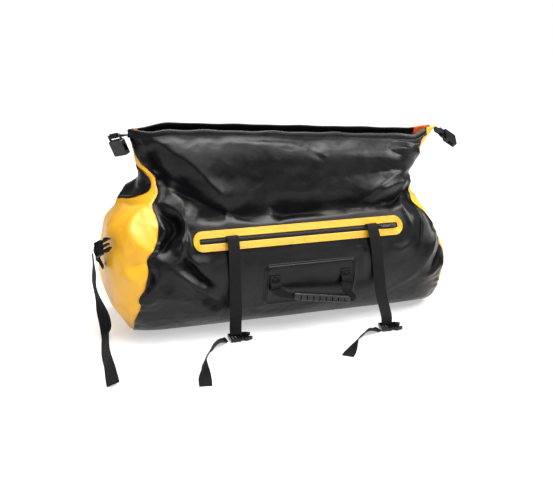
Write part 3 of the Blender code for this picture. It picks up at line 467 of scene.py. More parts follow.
# ------------------------------------------------------------------- meshes
def grid_faces(r, c, flip=False, wrap=False):
    f = []
    for i in range(r - 1):
        for j in range(c if wrap else c - 1):
            k = (j + 1) % c
            q = (i * c + j, i * c + k, (i + 1) * c + k, (i + 1) * c + j)
            f.append(q[::-1] if flip else q)
    return f


def mesh_object(name, verts, faces, uv=None, sm=True):
    me = bpy.data.meshes.new(name)
    me.from_pydata([tuple(map(float, v)) for v in verts], [], faces)
    me.update()
    if uv is not None:
        layer = me.uv_layers.new(name="UVMap")
        idx = np.zeros(len(me.loops), dtype=np.int32)
        me.loops.foreach_get("vertex_index", idx)
        layer.data.foreach_set("uv", np.asarray(uv, np.float32)[idx].ravel())
    me.polygons.foreach_set("use_smooth", [sm] * len(me.polygons))
    me.update()
    ob = bpy.data.objects.new(name, me)
    scene.collection.objects.link(ob)
    return ob


def thick(ob, t, offset=-1.0):
    m = ob.modifiers.new("thickness", "SOLIDIFY")
    m.thickness, m.offset, m.use_even_offset = t, offset, False
    return ob


def bake(ob):
    """Applies an object's modifiers to its mesh."""
    bpy.context.view_layer.update()
    dg = bpy.context.evaluated_depsgraph_get()
    me = bpy.data.meshes.new_from_object(ob.evaluated_get(dg))
    ob.modifiers.clear()
    ob.data = me
    return ob


def joined(name, parts):
    """One mesh object from several."""
    bm = bmesh.new()
    for o in parts:
        me = o.data
        me.transform(o.matrix_world)
        bm.from_mesh(me)
    me = bpy.data.meshes.new(name)
    bm.to_mesh(me)
    bm.free()
    for o in parts:
        bpy.data.objects.remove(o, do_unlink=True)
    me.polygons.foreach_set("use_smooth", [True] * len(me.polygons))
    ob = bpy.data.objects.new(name, me)
    scene.collection.objects.link(ob)
    return ob


# ---------------------------------------------------------------- materials
def new_material(name, colour, rough, metal=0.0, spec=0.5, sheen=0.0, coat=0.0, coat_rough=0.3):
    m = bpy.data.materials.new(name)
    m.use_nodes = True
    nt = m.node_tree
    b = nt.nodes["Principled BSDF"]
    b.inputs["Base Color"].default_value = (*colour, 1)
    b.inputs["Roughness"].default_value = rough
    b.inputs["Metallic"].default_value = metal
    b.inputs["Specular IOR Level"].default_value = spec
    b.inputs["Sheen Weight"].default_value = sheen
    b.inputs["Sheen Roughness"].default_value = 0.5
    b.inputs["Coat Weight"].default_value = coat
    b.inputs["Coat Roughness"].default_value = coat_rough
    m.diffuse_color = (*colour, 1)
    return m, nt, b


def node(nt, kind, **kw):
    n = nt.nodes.new(kind)
    for k, v in kw.items():
        if k in n.inputs:
            n.inputs[k].default_value = v
        else:
            setattr(n, k, v)
    return n


def ramp(nt, fac, stops):
    r = nt.nodes.new("ShaderNodeValToRGB")
    e = r.color_ramp.elements
    e[0].position, e[0].color = stops[0][0], stops[0][1]
    e[1].position, e[1].color = stops[-1][0], stops[-1][1]
    for pos, col in stops[1:-1]:
        n = e.new(pos)
        n.color = col
    nt.links.new(fac, r.inputs["Fac"])
    return r.outputs["Color"]


def grey(v):
    return (v, v, v, 1)


def scaled(c, k):
    return (c[0] * k, c[1] * k, c[2] * k, 1)


def tarpaulin(name, colour, rough, vary, tint=None, sheen=0.0, weave=0.10, spec=0.5, coat=0.0, painted_crease_shade=0.0):
    """Coated cloth: a soft film with the base cloth's weave just showing."""
    m, nt, b = new_material(name, colour, rough, spec=spec, sheen=sheen, coat=coat)
    L = nt.links.new
    if painted_crease_shade:
        # painted shade: the specular level drops in the bottoms of the creases, following their depth, so they
        # read darker as if shaded
        at = node(nt, "ShaderNodeAttribute")
        at.attribute_name = "crease_depth_for_shade"
        crease_shaded_spec = node(nt, "ShaderNodeMapRange")
        crease_shaded_spec.inputs["To Min"].default_value = spec
        crease_shaded_spec.inputs["To Max"].default_value = spec * (1 - painted_crease_shade)
        L(at.outputs["Fac"], crease_shaded_spec.inputs["Value"])
        L(crease_shaded_spec.outputs[0], b.inputs["Specular IOR Level"])
    co = node(nt, "ShaderNodeTexCoord").outputs["Object"]
    big = node(nt, "ShaderNodeTexNoise", Scale=7.0, Detail=3.0)
    mid = node(nt, "ShaderNodeTexNoise", Scale=55.0, Detail=5.0, Roughness=0.62)
    for n in (big, mid):
        L(co, n.inputs["Vector"])
    mixc = node(nt, "ShaderNodeMix", data_type="FLOAT")
    mixc.inputs[0].default_value = 0.45
    L(big.outputs["Fac"], mixc.inputs[2])
    L(mid.outputs["Fac"], mixc.inputs[3])
    dark = tint[0] if tint else 1 - vary
    light = tint[1] if tint else 1 + vary
    L(ramp(nt, mixc.outputs[0], ((0.36, scaled(colour, dark)), (0.64, scaled(colour, light)))),
      b.inputs["Base Color"])
    L(ramp(nt, mixc.outputs[0], ((0.35, grey(rough - 0.05)), (0.65, grey(rough + 0.06)))),
      b.inputs["Roughness"])
    # weave of about one millimetre, soft scuffs and fine grain
    wx = node(nt, "ShaderNodeTexWave", Scale=300.0, Distortion=0.4)
    wx.bands_direction = "X"
    wz = node(nt, "ShaderNodeTexWave", Scale=300.0, Distortion=0.4)
    wz.bands_direction = "Z"
    wy = node(nt, "ShaderNodeTexWave", Scale=300.0, Distortion=0.4)
    wy.bands_direction = "Y"
    for n in (wx, wy, wz):
        L(co, n.inputs["Vector"])
    s1 = node(nt, "ShaderNodeMath", operation="MULTIPLY")
    L(wx.outputs["Fac"], s1.inputs[0])
    L(wz.outputs["Fac"], s1.inputs[1])
    s2 = node(nt, "ShaderNodeMath", operation="MULTIPLY_ADD")
    L(wy.outputs["Fac"], s2.inputs[0])
    s2.inputs[1].default_value = 0.3
    L(s1.outputs[0], s2.inputs[2])
    fine = node(nt, "ShaderNodeTexNoise", Scale=420.0, Detail=3.0)
    L(co, fine.inputs["Vector"])
    b1 = node(nt, "ShaderNodeBump", Strength=weave, Distance=0.0004)
    L(s2.outputs[0], b1.inputs["Height"])
    b2 = node(nt, "ShaderNodeBump", Strength=0.10, Distance=0.0005)
    L(fine.outputs["Fac"], b2.inputs["Height"])
    L(b1.outputs["Normal"], b2.inputs["Normal"])
    b3 = node(nt, "ShaderNodeBump", Strength=0.16, Distance=0.003)
    L(mid.outputs["Fac"], b3.inputs["Height"])
    L(b2.outputs["Normal"], b3.inputs["Normal"])
    L(b3.outputs["Normal"], b.inputs["Normal"])
    return m


def webbing_material(name, colour, pitch=0.0014, uv=True):
    """Flat woven webbing, ribbed across and along."""
    m, nt, b = new_material(name, colour, 0.62, spec=0.16, sheen=0.0)
    L = nt.links.new
    tc = node(nt, "ShaderNodeTexCoord")
    co = tc.outputs["UV" if uv else "Object"]
    k = 0.31416 / pitch
    wu = node(nt, "ShaderNodeTexWave", Scale=k, Distortion=0.3)
    wu.bands_direction = "X"
    wv = node(nt, "ShaderNodeTexWave", Scale=k * 0.62, Distortion=0.3)
    wv.bands_direction = "Y" if uv else "Z"
    wd = node(nt, "ShaderNodeTexWave", Scale=k * 0.5, Distortion=0.2)
    wd.bands_direction = "DIAGONAL"
    for n in (wu, wv, wd):
        L(co, n.inputs["Vector"])
    mul = node(nt, "ShaderNodeMath", operation="MULTIPLY")
    L(wu.outputs["Fac"], mul.inputs[0])
    L(wv.outputs["Fac"], mul.inputs[1])
    add = node(nt, "ShaderNodeMath", operation="MULTIPLY_ADD")
    L(wd.outputs["Fac"], add.inputs[0])
    add.inputs[1].default_value = 0.35
    L(mul.outputs[0], add.inputs[2])
    fuzz = node(nt, "ShaderNodeTexNoise", Scale=900.0, Detail=2.0)
    L(tc.outputs["Object"], fuzz.inputs["Vector"])
    L(ramp(nt, add.outputs[0], ((0.05, scaled(colour, 0.45)), (0.9, scaled(colour, 2.1)))),
      b.inputs["Base Color"])
    L(ramp(nt, fuzz.outputs["Fac"], ((0.3, grey(0.62)), (0.7, grey(0.84)))), b.inputs["Roughness"])
    b1 = node(nt, "ShaderNodeBump", Strength=0.75, Distance=0.0006)
    L(add.outputs[0], b1.inputs["Height"])
    b2 = node(nt, "ShaderNodeBump", Strength=0.2, Distance=0.0003)
    L(fuzz.outputs["Fac"], b2.inputs["Height"])
    L(b1.outputs["Normal"], b2.inputs["Normal"])
    L(b2.outputs["Normal"], b.inputs["Normal"])
    return m


def plastic_material(name, colour, rough, grain=0.25, scale=1300.0, spec=0.5):
    m, nt, b = new_material(name, colour, rough, spec=spec)
    L = nt.links.new
    co = node(nt, "ShaderNodeTexCoord").outputs["Object"]
    n1 = node(nt, "ShaderNodeTexNoise", Scale=scale, Detail=2.0)
    n2 = node(nt, "ShaderNodeTexNoise", Scale=60.0, Detail=4.0)
    L(co, n1.inputs["Vector"])
    L(co, n2.inputs["Vector"])
    L(ramp(nt, n2.outputs["Fac"], ((0.35, scaled(colour, 0.8)), (0.65, scaled(colour, 1.3)))),
      b.inputs["Base Color"])
    L(ramp(nt, n2.outputs["Fac"], ((0.3, grey(rough - 0.07)), (0.7, grey(rough + 0.09)))),
      b.inputs["Roughness"])
    b1 = node(nt, "ShaderNodeBump", Strength=grain, Distance=0.0003)
    L(n1.outputs["Fac"], b1.inputs["Height"])
    L(b1.outputs["Normal"], b.inputs["Normal"])
    return m


def metal_material(name, colour, rough):
    m, nt, b = new_material(name, colour, rough, metal=1.0)
    L = nt.links.new
    co = node(nt, "ShaderNodeTexCoord").outputs["Object"]
    n2 = node(nt, "ShaderNodeTexNoise", Scale=240.0, Detail=5.0)
    L(co, n2.inputs["Vector"])
    L(ramp(nt, n2.outputs["Fac"], ((0.35, scaled(colour, 0.6)), (0.7, scaled(colour, 1.25)))),
      b.inputs["Base Color"])
    L(ramp(nt, n2.outputs["Fac"], ((0.3, grey(rough - 0.08)), (0.7, grey(rough + 0.14)))),
      b.inputs["Roughness"])
    return m


# the black tarpaulin gets painted shade: its specular level is lowered in the crease bottoms
M_BLACK = tarpaulin("tarpaulin_black", (0.0021, 0.0021, 0.0026), 0.31, 0.22, weave=0.06, spec=0.21, painted_crease_shade=0.85)
M_PATCH = tarpaulin("tarpaulin_patch", (0.0026, 0.0026, 0.0031), 0.30, 0.20, weave=0.10, spec=0.20)
M_BASE = tarpaulin("tarpaulin_base", (0.005, 0.005, 0.006), 0.50, 0.25, weave=0.22, spec=0.3)
M_YELLOW = tarpaulin("tarpaulin_yellow", (0.66, 0.330, 0.010), 0.38, 0.06, weave=0.06, spec=0.42)
M_BAND = tarpaulin("zip_band_yellow", (0.62, 0.352, 0.008), 0.30, 0.10, weave=0.03, spec=0.5)
M_HEM = tarpaulin("mouth_strip_black", (0.003, 0.003, 0.0036), 0.28, 0.20, weave=0.05, spec=0.26)
M_LINING = tarpaulin("lining_black", (0.016, 0.016, 0.017), 0.60, 0.2, weave=0.3)
M_TAPE = tarpaulin("corner_tape_orange", (0.80, 0.125, 0.018), 0.50, 0.15, weave=0.4)
M_WEB = webbing_material("webbing_black", (0.0034, 0.0034, 0.0038))
M_WEB3 = webbing_material("webbing_tab", (0.0034, 0.0034, 0.0038), uv=False)
M_THREAD = plastic_material("stitching_thread", (0.020, 0.020, 0.022), 0.55, 0.5, 2600.0)
M_BUCKLE = plastic_material("buckle_black", (0.0030, 0.0030, 0.0034), 0.24, 0.18, spec=0.26)
M_GRIP = plastic_material("grip_black", (0.0030, 0.0030, 0.0034), 0.30, 0.30, 1000.0, spec=0.34)
M_COIL = plastic_material("zip_coil_black", (0.0065, 0.0065, 0.0070), 0.42, 0.2)
M_ZIPTAPE = webbing_material("zip_tape_black", (0.010, 0.010, 0.011), 0.0009)
M_METAL = metal_material("zip_metal_dark", (0.060, 0.061, 0.065), 0.30)


def paint(ob, mat):
    ob.data.materials.clear()
    ob.data.materials.append(mat)
    return ob


def repaint(name, mat):
    """A carried-over solid gets its finish; rounded() adds the slightly rounded edges."""
    o = NODES[name]
    for s in o.material_slots:
        s.material = mat
    if not o.material_slots:
        o.data.materials.append(mat)
    return o


def rounded(name, mat, width=0.0006, angle=35):
    o = repaint(name, mat)
    b = o.modifiers.new("edges", "BEVEL")
    b.width, b.segments, b.limit_method, b.angle_limit = width, 2, "ANGLE", math.radians(angle)
    b.harden_normals = False
    return o


# -------------------------------------------------------------- the bag's skin
panels = {}
for kind, n, lap in (("front", 176, True), ("rear", 150, True), ("left", 62, False), ("right", 56, False)):
    raw, base = panel(kind, n, lap)
    nrm = normals(base)
    panels[kind] = [raw, base, nrm]

# outward sense of each grid's normals
for kind in panels:
    raw, base, nrm = panels[kind]
    mid = base[len(base) // 3, base.shape[1] // 2]
    if np.dot(nrm[len(base) // 3, base.shape[1] // 2], mid - np.array([0, 0, mid[2]])) < 0:
        panels[kind][2] = -nrm
        panels[kind].append(True)
    else:
        panels[kind].append(False)

every = np.concatenate([v[1].reshape(-1, 3) for v in panels.values()])
LINES = prepare(every[::2])

skin = {}
for kind, (raw, base, nrm, flipped) in panels.items():
    h = displace(raw, base, nrm, kind, LINES)
    if kind in ("front", "rear"):
        # the black panels lap over the yellow ones: raised edge with a weld line
        c = base.shape[1]
        lift = np.zeros(c)
        over = np.array([0.00025, 0.00105, 0.00115, 0.00115, 0.00105, 0.0009, 0.0006, 0.0003])
        lift[:8] = over
        lift[-8:] = over[::-1]
        h = h + lift[None, :]
    p = base + nrm * h[..., None]
    if kind == "front":
        p = p + sag(raw[..., 0]) * smooth(0.368, 0.410, raw[..., 2])[..., None]
    skin[kind] = p

def crease_depth_for_shade(p, n, far):
    """Depth of each grid point below its neighbours, 0 (open) to 1; it sets the painted shade in the creases."""
    out = np.zeros(p.shape[:2])
    for k, w in ((3, 0.5), (6, 1.0), (10, 1.0), (16, 0.8)):
        q = np.pad(p, ((k, k), (k, k), (0, 0)), mode="edge")
        mean = 0.25 * (q[:-2 * k, k:-k] + q[2 * k:, k:-k] + q[k:-k, :-2 * k] + q[k:-k, 2 * k:])
        out += w * np.einsum("ijk,ijk->ij", mean - p, n) / (0.45e-3 * k ** 0.9)
    return np.clip(out / far, 0.0, 1.0)


for kind, p in skin.items():
    r, c = p.shape[:2]
    flipped = panels[kind][3]
    # crease depth, kept as a point attribute that the black tarpaulin turns into painted shade
    painted_crease_shade = crease_depth_for_shade(p, panels[kind][2], 3.0)
    ob = mesh_object({"front": "bag_front", "rear": "bag_rear", "left": "bag_end_left",
                      "right": "bag_end_right"}[kind], p.reshape(-1, 3), grid_faces(r, c, flip=flipped))
    shade = ob.data.attributes.new("crease_depth_for_shade", "FLOAT", "POINT")
    shade.data.foreach_set("value", painted_crease_shade.ravel().astype(np.float32))
    paint(ob, M_BLACK if kind in ("front", "rear") else M_YELLOW)
    thick(ob, 0.0009)
    bake(ob)
    if kind == "front":
        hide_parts("front_panel", "neck_front")
    if kind == "rear":
        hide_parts("rear_panel", "neck_rear")
    if kind == "left":
        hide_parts("end_panel_left", "gusset_left")
    if kind == "right":
        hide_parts("end_panel_right", "gusset_right")
    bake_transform(ob)


# pouch behind the zip: its own sheet, hanging inside the front
raw, base, nrm, flipped = panels["front"]
ri = np.where((Z_ROWS > 0.077) & (Z_ROWS < 0.2265))[0]
half = int(np.argmin(np.abs(Z_ROWS - 0.15)))
ci = np.where((raw[half, :, 0] > -0.234) & (raw[half, :, 0] < 0.218))[0]
gi, gj = np.meshgrid(ri, ci, indexing="ij")
rim = np.minimum(np.minimum(gi - ri[0], ri[-1] - gi), np.minimum(gj - ci[0], ci[-1] - gj))
inset = 0.0016 + 0.0125 * smooth(0.0, 3.5, rim)
pouch = skin["front"][gi, gj] - nrm[gi, gj] * inset[..., None]
ob = mesh_object("pocket_lining", pouch.reshape(-1, 3), grid_faces(len(ri), len(ci), flip=flipped))
paint(ob, M_LINING)
thick(ob, 0.0006, 0.0)
bake(ob)
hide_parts("pocket_pouch")
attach(ob, "bag")


# ------------------------------------------------------- points on the front
def surf(x, z, out=0.0):
    """A point on the smooth front face at x and level z, out metres proud."""
    x, z = np.asarray(x, float), np.asarray(z, float)
    e = 5e-4

    def s(xx, zz):
        return settle(np.stack([xx, outline(xx, zz), zz], -1))

    p = s(x, z)
    n = np.cross(s(x + e, z) - s(x - e, z), s(x, z + e) - s(x, z - e))
    n /= np.linalg.norm(n, axis=-1, keepdims=True)
    return p + n * np.asarray(out)[..., None] if np.ndim(out) else p + n * out


# base: a flat sheet whose edge is welded inside the panels
x, y, s, _ = LEVELS[0]
k = np.interp(np.linspace(0, s[-1], 181)[:-1], s, np.arange(len(s)))
ring = np.stack([np.interp(k, np.arange(len(s)), x), np.interp(k, np.arange(len(s)), y)], 1)
rings = []
for f in (1.0, 0.97, 0.9, 0.75, 0.5, 0.25, 0.05):
    q = ring.copy()
    q[:, 1] *= f
    q[:, 0] -= np.sign(q[:, 0]) * np.minimum((1 - f) * 0.05, np.abs(q[:, 0]) * (1 - f))
    rings.append(np.concatenate([q, np.full((len(q), 1), 0.0003 + 0.0003 * (f < 0.99))], 1))
v = np.concatenate(rings)
base_ob = mesh_object("bag_base", v, grid_faces(len(rings), 180, wrap=True)
                      + [tuple(range(6 * 180, 7 * 180))])
bm = bmesh.new()
bm.from_mesh(base_ob.data)
bmesh.ops.recalc_face_normals(bm, faces=bm.faces)
bm.to_mesh(base_ob.data)
bm.free()
thick(base_ob, 0.0012, 0.0)
bake(base_ob)
base_ob.data.transform(Matrix.Translation((0, 0, 0.0014)))
paint(base_ob, M_BASE)
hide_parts("base_panel")
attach(base_ob, "bag")


# ------------------------------------------------------------------- zip band
def around(m):
    """Matching points of the slit's edge and the band's outer edge, in x, z."""
    zc, half = (BAND_Z0 + BAND_Z1) / 2, (BAND_Z1 - BAND_Z0) / 2
    hz = (ZIP_Z1 - ZIP_Z0) / 2 - 0.0006
    inner, outer = [], []
    xl, xr = BAND_X0 + half, BAND_X1 - half
    straight = np.linspace(xl, xr, m)
    for x in straight[:-1]:
        outer.append((x, BAND_Z1)); inner.append((x, zc + hz))
    for a in np.linspace(math.pi / 2, -math.pi / 2, 28)[:-1]:
        outer.append((xr + half * math.cos(a), zc + half * math.sin(a)))
        inner.append((xr + (ZIP_X1 - xr) * abs(math.cos(a)) ** 0.45,
                      zc + hz * math.copysign(abs(math.sin(a)) ** 0.45, math.sin(a))))
    for x in straight[::-1][:-1]:
        outer.append((x, BAND_Z0)); inner.append((x, zc - hz))
    for a in np.linspace(-math.pi / 2, -3 * math.pi / 2, 28)[:-1]:
        outer.append((xl + half * math.cos(a), zc + half * math.sin(a)))
        inner.append((xl - (xl - ZIP_X0) * abs(math.cos(a)) ** 0.45,
                      zc + hz * math.copysign(abs(math.sin(a)) ** 0.45, math.sin(a))))
    return np.array(inner), np.array(outer)


inner, outer = around(150)
prof = [(1.03, -0.0006), (1.0, 0.0002), (0.995, 0.0011), (0.97, 0.0016)]
for t in np.linspace(0.93, 0.10, 34):
    ridge = 0.5 + 0.5 * math.cos(2 * math.pi * (t - 0.10) / 0.166)
    prof.append((t, 0.0013 + 0.00085 * ridge ** 1.5))
prof += [(0.05, 0.0017), (0.0, 0.0014), (-0.02, 0.0007), (0.0, 0.0)]
rows = []
for t, h in prof:
    xz = inner + (outer - inner) * t
    rows.append(surf(xz[:, 0], xz[:, 1], h))
rows = np.array(rows)
band = mesh_object("zip_band", rows.reshape(-1, 3), grid_faces(len(prof), len(inner), wrap=True))
bm = bmesh.new(); bm.from_mesh(band.data); bmesh.ops.recalc_face_normals(bm, faces=bm.faces)
bm.to_mesh(band.data); bm.free()
paint(band, M_BAND)
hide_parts("zip_surround")
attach(band, "bag")

# zip tape and coil in the slit
zc = (ZIP_Z0 + ZIP_Z1) / 2
xs = np.linspace(ZIP_X0 - 0.001, ZIP_X1 + 0.001, 90)
zz = np.linspace(ZIP_Z0 - 0.0004, ZIP_Z1 + 0.0004, 9)
gx, gz = np.meshgrid(xs, zz)
h = 0.0006 + 0.00025 * np.cos((gz - zc) / 0.006 * math.pi)
tape = mesh_object("zip_tape", surf(gx, gz, h).reshape(-1, 3), grid_faces(len(zz), len(xs)),
                   uv=np.stack([gx.ravel(), gz.ravel()], 1))
paint(tape, M_ZIPTAPE)
parts = []
verts, faces = [], []
pitch = 0.0024
for i, x0 in enumerate(np.arange(ZIP_X0 + 0.002, ZIP_X1 - 0.012, pitch)):
    side = 1 if i % 2 else -1
    ring_n = 6
    for q, (dz, rr) in enumerate(((-0.0030, 0.00035), (-0.0026, 0.00075), (0.0, 0.00085),
                                  (0.0020, 0.00075), (0.0023, 0.00035))):
        for a in range(ring_n):
            th = 2 * math.pi * a / ring_n
            xx = x0 + rr * 1.15 * math.cos(th)
            zzv = zc + side * dz
            verts.append((xx, zzv, 0.0013 + rr * math.sin(th)))
    b0 = len(verts) - 5 * ring_n
    for q in range(4):
        for a in range(ring_n):
            c0, c1 = b0 + q * ring_n + a, b0 + q * ring_n + (a + 1) % ring_n
            faces.append((c0, c1, c1 + ring_n, c0 + ring_n))
    faces.append(tuple(b0 + a for a in range(ring_n))[::-1])
    faces.append(tuple(b0 + 4 * ring_n + a for a in range(ring_n)))
va = np.array(verts)
coil = mesh_object("zip_coil_teeth", surf(va[:, 0], va[:, 1], va[:, 2]), faces)
bm = bmesh.new(); bm.from_mesh(coil.data); bmesh.ops.recalc_face_normals(bm, faces=bm.faces)
bm.to_mesh(coil.data); bm.free()
paint(coil, M_COIL)
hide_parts("zip_coil")
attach(coil, "bag")
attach(tape, "bag")
rounded("zip_slider", M_METAL, 0.0004)
rounded("zip_pull", M_METAL, 0.0003)


# ---------------------------------------------------------------- handle patch
def rounded_rect(x0, x1, z0, z1, r, n_arc, n_long, n_short):
    pts = []
    for (cx, cz, a0), n in (((x1 - r, z1 - r, 90), n_long), ((x1 - r, z0 + r, 0), n_short),
                            ((x0 + r, z0 + r, -90), n_long), ((x0 + r, z1 - r, 180), n_short)):
        pass
    corners = ((x1 - r, z0 + r, -90), (x1 - r, z1 - r, 0), (x0 + r, z1 - r, 90), (x0 + r, z0 + r, 180))
    arcs = []
    for cx, cz, a0 in corners:
        arcs.append([(cx + r * math.cos(math.radians(a0 + 90 * k / n_arc)),
                      cz + r * math.sin(math.radians(a0 + 90 * k / n_arc))) for k in range(n_arc + 1)])
    for i in range(4):
        pts += arcs[i]
        a, b = arcs[i][-1], arcs[(i + 1) % 4][0]
        n = n_short if i % 2 == 0 else n_long
        n = {0: n_long, 1: n_short, 2: n_long, 3: n_short}[(i + 1) % 4] if False else n
        for k in range(1, n):
            pts.append((a[0] + (b[0] - a[0]) * k / n, a[1] + (b[1] - a[1]) * k / n))
    return np.array(pts)


profile = [(-0.0006, -0.0004), (0.0, 0.0006), (0.0004, 0.0013), (0.0012, 0.0015), (0.0026, 0.0015),
           (0.0034, 0.0020), (0.0040, 0.0032), (0.0048, 0.0037), (0.0058, 0.0036), (0.0066, 0.0024),
           (0.0074, 0.0013), (0.0084, 0.0011), (0.0092, 0.0018), (0.0100, 0.0025), (0.0110, 0.0017),
           (0.0122, 0.0012), (0.0150, 0.0012), (0.0200, 0.0013), (0.0260, 0.0014), (0.0320, 0.0015),
           (0.0380, 0.0015), (0.0430, 0.0015), (0.0465, 0.0015)]
rows = []
for d, h in profile:
    r = max(0.0155 - d, 0.0012)
    q = rounded_rect(PATCH_X0 + d, PATCH_X1 - d, PATCH_Z0 + d, PATCH_Z1 - d, r, 8, 26, 12) \
        if True else None
    wob = 0.00025 * np.sin(q[:, 0] * 420) * np.sin(q[:, 1] * 370) if d > 0.012 else 0.0
    rows.append(surf(q[:, 0], q[:, 1], h + wob * np.ones(len(q))))
rows = np.array(rows)
patch = mesh_object("handle_base_patch", rows.reshape(-1, 3),
                    grid_faces(len(rows), rows.shape[1], wrap=True)
                    + [tuple(range((len(rows) - 1) * rows.shape[1], len(rows) * rows.shape[1]))])
bm = bmesh.new(); bm.from_mesh(patch.data); bmesh.ops.recalc_face_normals(bm, faces=bm.faces)
bm.to_mesh(patch.data); bm.free()
paint(patch, M_PATCH)
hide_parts("handle_patch")
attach(patch, "bag")


# -------------------------------------------------------------------- webbing
def ribbon(name, path, across, width, thick_m, mat, edge=0.35):
    """Flat webbing along path, with rounded edges. across is its width direction."""
    p = np.asarray(path, float)
    t = np.gradient(p, axis=0)
    t /= np.linalg.norm(t, axis=1, keepdims=True)
    a = np.broadcast_to(np.asarray(across, float), p.shape).copy()
    a -= t * np.sum(a * t, axis=1, keepdims=True)
    a /= np.linalg.norm(a, axis=1, keepdims=True)
    n = np.cross(t, a)
    w = np.broadcast_to(np.asarray(width, float), (len(p),)) / 2
    th = thick_m / 2
    sec = [(-1.0, 0.0, 0.0), (-1.0, 1.0, -0.7 * th), (-1.0, 1.0, None)]
    # cross-section: s is the share across, o the edge inset, k the side
    prof = []
    e = th * 0.9
    top = [(-1, e * 0.30, 0.72), (-1, e, 1.0), (-0.92, 0, 0.86), (-0.80, 0, 1.0), (-0.4, 0, 1.0), (0.0, 0, 1.0),
           (0.4, 0, 1.0), (0.80, 0, 1.0), (0.92, 0, 0.86), (1, e, 1.0), (1, e * 0.30, 0.72)]
    for s, o, k in top:
        prof.append((s, o, k))
    prof.append((1, 0.0, 0.0))
    for s, o, k in reversed(top):
        prof.append((s, o, -k))
    prof.append((-1, 0.0, 0.0))
    m = len(prof)
    L = np.concatenate([[0], np.cumsum(np.linalg.norm(np.diff(p, axis=0), axis=1))])
    verts, uv = [], []
    for i in range(len(p)):
        for s, o, k in prof:
            x = s * w[i] - math.copysign(o, s) if s else 0.0
            verts.append(p[i] + a[i] * x + n[i] * (k * th))
            uv.append((L[i], x + (0.05 if k < 0 else 0.0)))
    faces = grid_faces(len(p), m, wrap=True)
    faces.append(tuple(range(m))[::-1])
    faces.append(tuple((len(p) - 1) * m + q for q in range(m)))
    ob = mesh_object(name, verts, faces, uv=uv)
    bm = bmesh.new(); bm.from_mesh(ob.data); bmesh.ops.recalc_face_normals(bm, faces=bm.faces)
    bm.to_mesh(ob.data); bm.free()
    paint(ob, mat)
    return ob


def stitches(name, lines, pitch=0.0026, r=0.00032, length=0.0019):
    """Thread along polylines in space: short rounded stitches."""
    verts, faces = [], []
    for line in lines:
        p = flow(line, 0.0006) if len(line) > 2 else np.linspace(line[0], line[1], 60)
        s = np.concatenate([[0], np.cumsum(np.linalg.norm(np.diff(p, axis=0), axis=1))])
        for q in np.arange(pitch / 2, s[-1], pitch):
            a = np.array([np.interp(q - length / 2, s, p[:, k]) for k in range(3)])
            b = np.array([np.interp(q + length / 2, s, p[:, k]) for k in range(3)])
            d = b - a
            ln = np.linalg.norm(d)
            if ln < 1e-5:
                continue
            d /= ln
            u = np.cross(d, (0.31, 0.77, 0.55)); u /= np.linalg.norm(u)
            v = np.cross(d, u)
            b0 = len(verts)
            for f, k in ((0.0, 0.35), (0.2, 1.0), (0.8, 1.0), (1.0, 0.35)):
                for g in range(5):
                    th = 2 * math.pi * g / 5
                    verts.append(a + (b - a) * f + (u * math.cos(th) + v * math.sin(th)) * r * k)
            for f in range(3):
                for g in range(5):
                    c0, c1 = b0 + f * 5 + g, b0 + f * 5 + (g + 1) % 5
                    faces.append((c0, c1, c1 + 5, c0 + 5))
            faces.append(tuple(b0 + g for g in range(5))[::-1])
            faces.append(tuple(b0 + 15 + g for g in range(5)))
    ob = mesh_object(name, verts, faces)
    bm = bmesh.new(); bm.from_mesh(ob.data); bmesh.ops.recalc_face_normals(bm, faces=bm.faces)
    bm.to_mesh(ob.data); bm.free()
    paint(ob, M_THREAD)
    return ob


def facet_y(x, z):
    return float(surf(x, z)[1])


